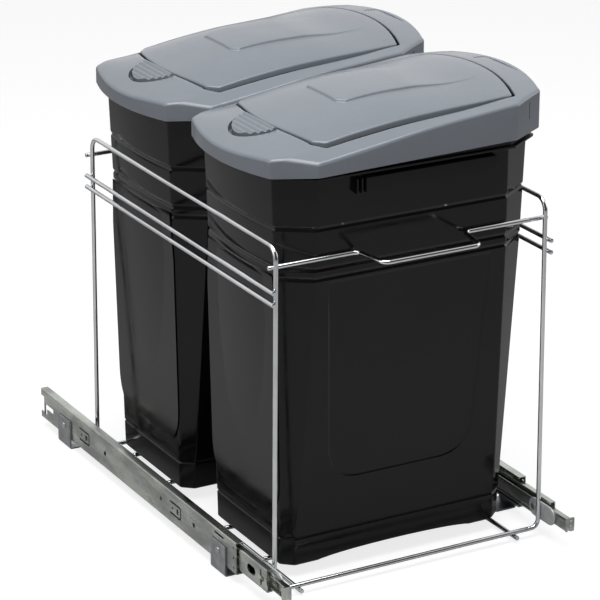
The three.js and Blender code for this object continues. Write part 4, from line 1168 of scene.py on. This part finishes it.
label = rectangle(LABEL_START, -LABEL_HALF, LABEL_START + LABEL_LENGTH, LABEL_HALF)
taken = [pressed(rounded(label, LABEL_CORNER, 6), LABEL_DEPTH)]
for end in ENDS:
    middle = Vector((LID_HALF - LID_CUT[0] / 2, end * (LID_DEPTH - LID_CUT[1] / 2)))
    along = Vector((LID_CUT[0], -end * LID_CUT[1])).normalized()
    out = Vector((LID_CUT[1], end * LID_CUT[0])).normalized()
    half, reach = SLOT_WIDTH / 2, 2 * LID_SKIN
    plan = [tuple(middle + along * a + out * b) for a, b in rectangle(-half, -reach, half, reach)]
    top = skin(*middle) - SLOT_DROP
    taken.append(upright("slot", plan, top - SLOT_HEIGHT, top))
taken.append(sloped_prism("pocket", latch_plan(0.5, LATCH_TRAVEL), LATCH_DEPTH, -12))
taken.append(bore(PIN / 2 + CLEARANCE, -OPENING_DEPTH - 4, OPENING_DEPTH + 4))
combine(frame_piece, "DIFFERENCE", *taken)
print("lid frame:", len(frame_piece.data.polygons), "faces")

# %% [markdown]
# ## The flaps
# The flap fills the opening with a small gap. Its long edges stand a little above the border,
# and a raised panel runs from its middle towards the hinge and fades into it there. The
# outlines of the flap and of that panel have the same number of points, so one set of rings
# goes from the middle of the panel, over its rounded step, to the rolled edge and back under.

# %% The shell of a flap
FLAP_GAP = 2.4
ISLAND_START, ISLAND_END, ISLAND_DEPTH, ISLAND_HEIGHT = -54, 116, 38, 2.7
ISLAND_FADE, FADE_END, ISLAND_CORNER = 90, 122, 8
ISLAND_TOP_STEPS, FLAP_STEPS, FLAP_UNDER_STEPS = 12, 14, 5
# How far each ring of the panel's step lies outside the panel, and its share of the height.
ISLAND_STEP = [(-1.1, 0.98), (-0.6, 0.9), (-0.2, 0.72), (0.1, 0.4), (0.5, 0.14), (1, 0.03), (1.8, 0)]
# How far each ring of the rolled edge lies inside the flap's outline, and under its skin.
ROLLED_EDGE = [(0.9, 0.18), (0.4, 0.5), (0.1, 0.95), (0, 1.6)]


def fade(x):
    """How much of its height the raised panel still has."""
    return min(1, max(0, (FADE_END - x) / ISLAND_FADE))


def island_plan(grow=0):
    left, right, half, cut = ISLAND_START - grow, ISLAND_END, ISLAND_DEPTH + grow, ISLAND_CORNER
    corners = [(left, cut - half), (left + cut, -half), (right - cut, -half), (right, cut - half)]
    corners += [(x, -y) for x, y in reversed(corners)]
    return eight_sided(corners, cut * CORNER_SHARE, (0, 0), SIDE_STEPS)


def on_flap(points, raised=0, drop=0):
    """Lays an outline on the flap, raised by a share of the panel's height."""
    ring = []
    for x, y in points:
        edge = flap_rise(x) * min(1, abs(y) / OPENING_DEPTH) ** DOME_POWER
        ring.append(on_bin(x, y, skin(x, y) + edge + raised * ISLAND_HEIGHT * fade(x) - drop))
    return ring


def flap_shell():
    """Rings from the middle of the panel to the rolled edge, and back along the underside."""
    middle = Vector(((ISLAND_START + ISLAND_END) / 2, 0))
    steps, top = ISLAND_TOP_STEPS, island_plan(-2)
    rings = [on_flap(shrunk(top, middle, t / steps), 1) for t in range(1, steps + 1)]
    rings += [on_flap(island_plan(grow), raised) for grow, raised in ISLAND_STEP]
    steps, island, edge = FLAP_STEPS, island_plan(1.8), opening_plan(FLAP_GAP + 1.6)
    rings += [on_flap(between(island, edge, t / steps)) for t in range(1, steps + 1)]
    rings += [on_flap(opening_plan(FLAP_GAP + inset), 0, drop) for inset, drop in ROLLED_EDGE]
    steps, under = FLAP_UNDER_STEPS, opening_plan(FLAP_GAP)
    rings += [on_lid(between(under, island, t / steps), LID_SKIN) for t in range(steps + 1)]
    rings += [on_lid(shrunk(island, middle, t / steps), LID_SKIN) for t in range(steps - 1, 0, -1)]
    return loft("lid_flap", rings)


flap = flap_shell()

# %% The barrels of the flap
BARREL_OFFSET, BARREL_LENGTH = 70, 16
barrels = []
for end in ENDS:
    start, stop = end * BARREL_OFFSET - BARREL_LENGTH / 2, end * BARREL_OFFSET + BARREL_LENGTH / 2
    barrels.append(bore(BARREL / 2, start, stop))
    barrels.append(block_under_skin(HINGE_X, BARREL / 2, HINGE_Z, start + 0.1, stop - 0.1, BARREL_OFFSET))
combine(flap, "UNION", *barrels)
combine(flap, "DIFFERENCE", bore(PIN / 2 + CLEARANCE, -OPENING_DEPTH, OPENING_DEPTH))
print("flap:", len(flap.data.polygons), "faces")

# %% [markdown]
# ## The latches and hinge pins
# The latch is a half-round thumb piece that slides away from the flap. Its ribs are rounded
# ridges across the travel, so their section is drawn as a wavy line, made into a bar, and the
# half-round shape is cut out of that bar, as a punch would.

# %% A latch
RIBS, RIB_HEIGHT, RIB_LEAN, LATCH_PROUD = 5, 2.0, 0.75, 2.4
RIB_STATIONS, LATCH_FLOOR = 80, LATCH_DEPTH - 1.3


def rib_top(x):
    """The ribbed upper side: a steep flank towards the flap and a gentle one away from it."""
    pitch = LATCH_LENGTH / RIBS
    t = (LATCH_EDGE - x) / pitch % 1
    wave = 0.5 + 0.5 * math.cos(2 * math.pi * t**RIB_LEAN)
    return skin(x, 0) + LATCH_PROUD - RIB_HEIGHT * wave


far_end = LATCH_EDGE - LATCH_LENGTH - 1
stations = [mix(LATCH_EDGE - 0.01, far_end, i / RIB_STATIONS) for i in range(RIB_STATIONS + 1)]
section = [(x, rib_top(x)) for x in stations]
section += [(x, skin(x, 0) - LATCH_FLOOR) for x in (far_end, LATCH_EDGE)]
latch = along_hinge("latch", section, -LATCH_HALF - 1, LATCH_HALF + 1)
combine(latch, "INTERSECT", upright("half_round", latch_plan(), SEAT, SEAT + 60))

# %% A hinge pin
outline = circle(centre_of("hinge_pin_front", X), centre_of("hinge_pin_front", Z), PIN / 2)
pin = bar("pin", outline, *span("hinge_pin_front", Y))
soften(pin, 0.4)

# %% The rear lid is a copy of the front one
lid_pieces = (
    (frame_piece, "lid_frame", "lid", "grey_plastic", "lid_shell"),
    (flap, "lid_flap", "flap", "grey_plastic", "flap_panel"),
    (latch, "lid_latch", "latch", "grey_plastic", "latch_slider"),
    (pin, "hinge_pin", "lid", "zinc_plate", "hinge_rod"),
)
for piece, node, body, slot, name in lid_pieces:
    for place, copy in (("rear", copy_back(piece)), ("front", piece)):
        finish_piece(copy, f"{name}_{place}", f"{body}_{place}", slot, f"{node}_{place}", smooth=32)
print("lids:", [name for *_, name in lid_pieces])

# %% [markdown]
# ## The slides
# Each slide is three channels of zinc-plated sheet, one inside the other, roll-formed from
# strip, so every fold is round. A channel is drawn as its section, the folds are rounded, and
# the section is pulled out to its length. Then the press work is done as in the factory:
# screw holes, tongues and notches are punched through the web.

# %% Sizes of a slide
SLIDE_HALF = span("slide_outer_right", X)[1]
SLIDE_FRONT, SLIDE_REAR = span("slide_outer_right", Y)
SLIDE_MIDDLE = centre_of("slide_outer_right", Z)
MIDDLE_FRONT, MIDDLE_REAR = span("slide_middle_right", Y)
INNER_FRONT, INNER_REAR = span("slide_inner_right", Y)
SLIDE_HEIGHT = 37
SHEET = 1.2
FOLD = 0.9
MIDDLE_HALF, INNER_HALF = 13.0, 7.5
SLIDE_DEPTH = 12.7
SCREW, RIVET = 5.6, 4
RIVET_HOLE = RIVET / 2 + CLEARANCE


def channel(web, mouth, half, lip):
    """Web at one depth, flanges to another, and lips turned in at their ends."""
    inwards = math.copysign(1, mouth - web)
    inner, lip_face = web + inwards * SHEET, mouth - inwards * SHEET
    edge = [(mouth, half - lip), (lip_face, half - lip), (lip_face, half - SHEET)]
    radii = [FOLD + SHEET * 0.6, FOLD + SHEET * 0.6, 0.3, 0.3, FOLD * 0.4, FOLD * 0.4]
    if lip <= SHEET:
        edge = [(mouth, half - SHEET)]
        radii = [FOLD + SHEET * 0.6, 0.3, 0.3, FOLD * 0.4]
    upper = [(web, half), (mouth, half), *edge, (inner, half - SHEET)]
    lower = [(depth, -height) for depth, height in reversed(upper)]
    return rounded(upper + lower, radii + radii[::-1], 4)


def from_outside(depth, sign):
    """The X place at a depth from the slide's outer face, on the left or the right."""
    return sign * (SLIDE_HALF - depth)


def member(name, section, sign, front, rear):
    points = [(from_outside(depth, sign), SLIDE_MIDDLE + height) for depth, height in section]
    return bar(name, points, front, rear)


def punch(outline, sign, web):
    """A block through the web, its outline drawn along the slide and up from its middle."""
    points = [(y, SLIDE_MIDDLE + z) for y, z in outline]
    return plate("punch", points, from_outside(web - 1, sign), from_outside(web + SHEET + 1, sign))


# %% [markdown]
# The fixed members carry the screw holes, two sprung tongues that are cut free on three sides,
# and the bent slot and notch at the rear where the drawn-in basket is caught. All these holes
# are drawn as outlines on the web, and punched out one after another.

# %% Fixed members
FOOT_PLACES = [centre_of(f"foot_{place}_right", Y) for place in ("front", "rear")]
FOOT_RIVET = 14
SCREW_PLACES = [SLIDE_FRONT + 98, SLIDE_FRONT + 178, SLIDE_REAR - 75, SLIDE_REAR - 178]
TONGUES = (SLIDE_FRONT + 142, SLIDE_REAR - 122)
TONGUE_LENGTH, TONGUE_HALF, TONGUE_SLOT = 27, 8, 2.2
CATCH_SLOT = [(-34, -4), (-16, -4), (-16, -12), (-11, -12), (-11, 2), (-34, 2)]
NOTCH = rectangle(SLIDE_REAR - 8, -10, SLIDE_REAR + 1, 10)
SMALL_HOLES = [(SLIDE_FRONT + 4.5, z, 1.5) for z in (-11.5, 0, 11.5)] + [(SLIDE_REAR - 52, 1, 2)]
FOOT_SLOT = stadium(FOOT_PLACES[0], 13.2, 22, 2.4)


def tongue_cuts(middle):
    """The U-shaped slot round a sprung tongue, whose root is to the rear, and its two holes."""
    half, gap = TONGUE_HALF, TONGUE_SLOT
    front, rear = middle - TONGUE_LENGTH / 2, middle + TONGUE_LENGTH / 2
    path = [(rear, half), (front, half), (front, -half), (rear, -half)]
    path += [(rear, gap - half), (front + gap, gap - half), (front + gap, half - gap), (rear, half - gap)]
    slot = rounded(path, [0.1, 4, 4, 0.1, 0.1, 2, 2, 0.1], 5)
    catch = rounded(rectangle(front + 6, -3.2, front + 11, 3.2), [2.4, 0.6, 0.6, 2.4], 4)
    return [slot, catch, circle(rear - 6, 0, 1.6)]


def fixed_member(sign):
    piece = member("fixed", channel(0, 9.8, SLIDE_HEIGHT / 2, 3.6), sign, SLIDE_FRONT, SLIDE_REAR)
    outlines = [circle(y, 0, SCREW / 2) for y in SCREW_PLACES]
    outlines += [circle(y, FOOT_RIVET - SLIDE_MIDDLE, RIVET_HOLE) for y in FOOT_PLACES]
    outlines += [NOTCH, [(SLIDE_REAR + y, z) for y, z in CATCH_SLOT], FOOT_SLOT]
    outlines += [circle(*hole) for hole in SMALL_HOLES]
    for middle in TONGUES:
        outlines += tongue_cuts(middle)
    combine(piece, "DIFFERENCE", *[punch(outline, sign, 0) for outline in outlines])
    return piece


# %% [markdown]
# The middle and inner members are the same channel in smaller sizes. The middle one has an
# oblong hole and a bent stop slot near its front, and the inner one the holes of its rivets.

# %% Moving members
PLATE_RIVETS = [centre_of(f"plate_rivet_{place}_right", Y) for place in ("front", "rear")]
INNER_WEB, MIDDLE_WEB = SLIDE_DEPTH - SHEET, 2.8
STOP_HOLE = stadium(MIDDLE_FRONT + 34, 0, 18, 10)
stop_rear = [(15, -9), (15, -3), (9.5, -0.5), (15, 2.5), (15, 9)]
stop_front = [(11, 9), (11, 3.5), (6, 1.5), (6, -2), (11, -4.5), (11, -9)]
STOP_SLOT = [(MIDDLE_FRONT + y, z) for y, z in rounded(stop_rear + stop_front, 0.8, 3)]


def middle_member(sign):
    section = channel(MIDDLE_WEB, 10.4, MIDDLE_HALF, 3.2)
    piece = member("middle", section, sign, MIDDLE_FRONT, MIDDLE_REAR)
    combine(piece, "DIFFERENCE", *[punch(hole, sign, MIDDLE_WEB) for hole in (STOP_HOLE, STOP_SLOT)])
    return piece


def inner_member(sign):
    piece = member("inner", channel(SLIDE_DEPTH, 5.8, INNER_HALF, SHEET), sign, INNER_FRONT, INNER_REAR)
    holes = [circle(y, 0, RIVET_HOLE) for y in PLATE_RIVETS]
    combine(piece, "DIFFERENCE", *[punch(hole, sign, INNER_WEB) for hole in holes])
    return piece


for side, sign in SIDES:
    members = (
        (fixed_member(sign), "slide_outer", "slide_base", "fixed_member"),
        (middle_member(sign), "slide_middle", "middle_members", "middle_member"),
        (inner_member(sign), "slide_inner", "basket", "inner_member"),
    )
    for piece, node, body, name in members:
        finish_piece(piece, f"{name}_{side}", body, "zinc_plate", f"{node}_{side}", smooth=40)
        print(name, side, len(piece.data.polygons), "faces")

# %% [markdown]
# A ball cage is a strip bent round the member inside it, with round windows that hold the
# balls a little apart. The balls are true spheres here, and they ride with their cage.

# %% Ball cages
BALL, BALL_PITCH = 3.8, 28
CAGE_SHEET, CAGE_FOLD = 0.8, 0.35
CAGES = {
    "outer": {"sheet": 0.4, "depth": 5, "row": 15.15, "body": "outer_ball_cages"},
    "inner": {"sheet": 0.8, "depth": 7, "row": 9.65, "body": "inner_ball_cages"},
}


def cage_strip(kind, sign):
    """The strip, as deep and as long as its solid, with its folds rounded."""
    x_low, x_high = span(f"ball_cage_{kind}_right", X)
    web, mouth = SLIDE_HALF - x_high, SLIDE_HALF - x_low
    tall = CAGES[kind]["row"] + CAGE_SHEET / 2
    inside, low = web + CAGES[kind]["sheet"], tall - CAGE_SHEET
    upper = [(web, tall), (mouth, tall), (mouth, low), (inside, low)]
    section = upper + [(depth, -height) for depth, height in reversed(upper)]
    return member("cage", rounded(section, CAGE_FOLD, 3), sign, *span(f"ball_cage_{kind}_right", Y))


def ball(sign, kind, y, row):
    """One ball, made at its place in the cage."""
    place = at(from_outside(CAGES[kind]["depth"], sign), y, SLIDE_MIDDLE + row)
    bpy.ops.mesh.primitive_uv_sphere_add(segments=16, ring_count=10, radius=BALL / 2 * MM, location=place)
    sphere = bpy.context.object
    bpy.ops.object.transform_apply(location=True, rotation=True, scale=True)
    return sphere


for side, sign in SIDES:
    for kind, cage in CAGES.items():
        name = f"ball_cage_{kind}_{side}"
        strip = cage_strip(kind, sign)
        for step in (-1, 0, 1):
            y = centre_of(name, Y) + step * BALL_PITCH
            combine(strip, "UNION", *[ball(sign, kind, y, end * cage["row"]) for end in ENDS])
        finish_piece(strip, f"caged_balls_{kind}_{side}", cage["body"], "ball_steel", name)
print("balls in a cage:", 3 * len(ENDS))

# %% [markdown]
# ## Feet, plates and rivets
# A foot is one bent strip: a leaf against the slide, a fold, and a leaf on the floor with cut
# corners and a screw hole. The joining plates are stamped and tumbled, so their edges are
# soft. A rivet is turned: half of its section is drawn as an edge, which is then spun round
# the rivet's axis.

# %% Feet
FOOT_SHEET, FOOT_HALF, FOOT_TOP, FOOT_BOTTOM, FOOT_REACH, FOOT_NOSE = 1.8, 16.5, 24, -11, 33, 8
FOOT_EDGES = [0.4, 0.4, 1.0, 0.4, 0.4, 2.8]
FOOT_OUT = span("foot_front_right", X)[1]
FOOT_HOLE, FOOT_HOLE_INSET = 5.5, 10


def foot(sign, y):
    """The strip is drawn from the side with a round fold, then its nose and holes are cut."""
    out, inner, toe = FOOT_OUT, FOOT_OUT - FOOT_SHEET, FOOT_OUT - FOOT_REACH
    floor_top = FOOT_BOTTOM + FOOT_SHEET
    section = [(out, FOOT_TOP), (inner, FOOT_TOP), (inner, floor_top), (toe, floor_top)]
    section += [(toe, FOOT_BOTTOM), (out, FOOT_BOTTOM)]
    section = [(sign * x, z) for x, z in rounded(section, FOOT_EDGES, 5)]
    piece = bar("foot", section, y - FOOT_HALF, y + FOOT_HALF)
    low, high = FOOT_BOTTOM - 1, floor_top + 1
    cuts = [plate("hole", circle(y, FOOT_RIVET, RIVET_HOLE), sign * (out + 1), sign * (inner - 1))]
    cuts.append(prism("hole", circle(sign * (toe + FOOT_HOLE_INSET), y, FOOT_HOLE / 2), low, high))
    for end in ENDS:
        edge, reach = y + end * FOOT_HALF, FOOT_NOSE + 1
        nose = [(toe - 1, edge + end), (toe + reach, edge + end), (toe - 1, edge - end * reach)]
        cuts.append(prism("nose", [(sign * x, place) for x, place in nose], low, high))
    combine(piece, "DIFFERENCE", *cuts)
    return piece


# %% Rivets
RIVET_SIDES, DOME_STEPS = 24, 8
RIVET_TAIL = [(-0.7, 0), (-0.7, 3.4), (-0.35, 3.9), (0, 4), (0, 2)]
RIVET_DOME, RIVET_HEAD = 1.2, 4


def turned_rivet(sign, y, z, inner_face, outer_face):
    """Shank, flat tail inside and round head outside, spun round the rivet's axis."""
    low, high = inner_face - CLEARANCE, outer_face + CLEARANCE
    half = [(low + depth, radius) for depth, radius in RIVET_TAIL] + [(high, RIVET / 2)]
    dome = arc(0, 0, 1, 0, 90, DOME_STEPS)
    half += [(high + RIVET_DOME * up, RIVET_HEAD * across) for across, up in dome]
    points = [at(sign * depth, y + radius, z) for depth, radius in half]
    rivet = mesh_piece("rivet", points, [], [(i, i + 1) for i in range(len(points) - 1)])
    edit(rivet)
    bpy.ops.mesh.spin(steps=RIVET_SIDES, angle=2 * math.pi, center=at(0, y, z), axis=(1, 0, 0))
    end_edit()
    face_outwards(rivet)
    return rivet


for side, sign in SIDES:
    for place, y in zip(("front", "rear"), FOOT_PLACES):
        name = f"foot_{place}_{side}"
        finish_piece(foot(sign, y), f"floor_{name}", "slide_base", "dark_zinc", name)
        name = f"foot_rivet_{place}_{side}"
        rivet = turned_rivet(sign, y, FOOT_RIVET, SLIDE_HALF - SHEET, FOOT_OUT)
        finish_piece(rivet, f"turned_{name}", "slide_base", "zinc_plate", name)

# %% Joining plates and end plates
PLATE_SIZE = (50, 21)
PLATE_IN, PLATE_OUT = span("joining_plate_front_right", X)
END_CORNER, END_HOLE = 1.2, 1.1
END_HOLE_ASIDE = 1.5


def end_plate(sign):
    """The plate that faces the door, with two small holes and a notch in its foot."""
    x_low, x_high = span("end_plate_right", X)
    y_low, y_high = span("end_plate_right", Y)
    z_low, z_high = span("end_plate_right", Z)
    outline = rounded(rectangle(x_low, z_low, x_high, z_high), END_CORNER)
    piece = bar("end", [(sign * x, z) for x, z in outline], y_low, y_high)
    hole_x = (x_low + x_high) / 2 + END_HOLE_ASIDE
    cuts = [rectangle(x_low + 2.5, z_low - 1, x_low + 5.5, z_low + 3)]
    cuts += [circle(hole_x, z, END_HOLE) for z in (z_low + 6, z_high - 4)]
    for cut in cuts:
        combine(piece, "DIFFERENCE", bar("hole", [(sign * x, z) for x, z in cut], y_low - 1, y_high + 1))
    return piece


for side, sign in SIDES:
    finish_piece(end_plate(sign), f"door_plate_{side}", "basket", "zinc_plate", f"end_plate_{side}")
    for place, y in zip(("front", "rear"), PLATE_RIVETS):
        name = f"joining_plate_{place}_{side}"
        outline = stadium(centre_of(name, Y), SLIDE_MIDDLE, *PLATE_SIZE)
        disc = plate("plate", outline, sign * PLATE_IN, sign * PLATE_OUT)
        soften(disc, 0.4)
        hole = circle(y, SLIDE_MIDDLE, RIVET_HOLE)
        combine(disc, "DIFFERENCE", plate("hole", hole, sign * (PLATE_IN - 1), sign * (PLATE_OUT + 1)))
        finish_piece(disc, f"welded_plate_{place}_{side}", "basket", "zinc_plate", name, coat=pale_zinc)
        name = f"plate_rivet_{place}_{side}"
        rivet = turned_rivet(sign, y, SLIDE_MIDDLE, PLATE_IN, SLIDE_HALF - INNER_WEB)
        finish_piece(rivet, f"turned_{name}", "basket", "zinc_plate", name)
print("feet, plates and rivets:", len(SIDES) * 9, "pieces")
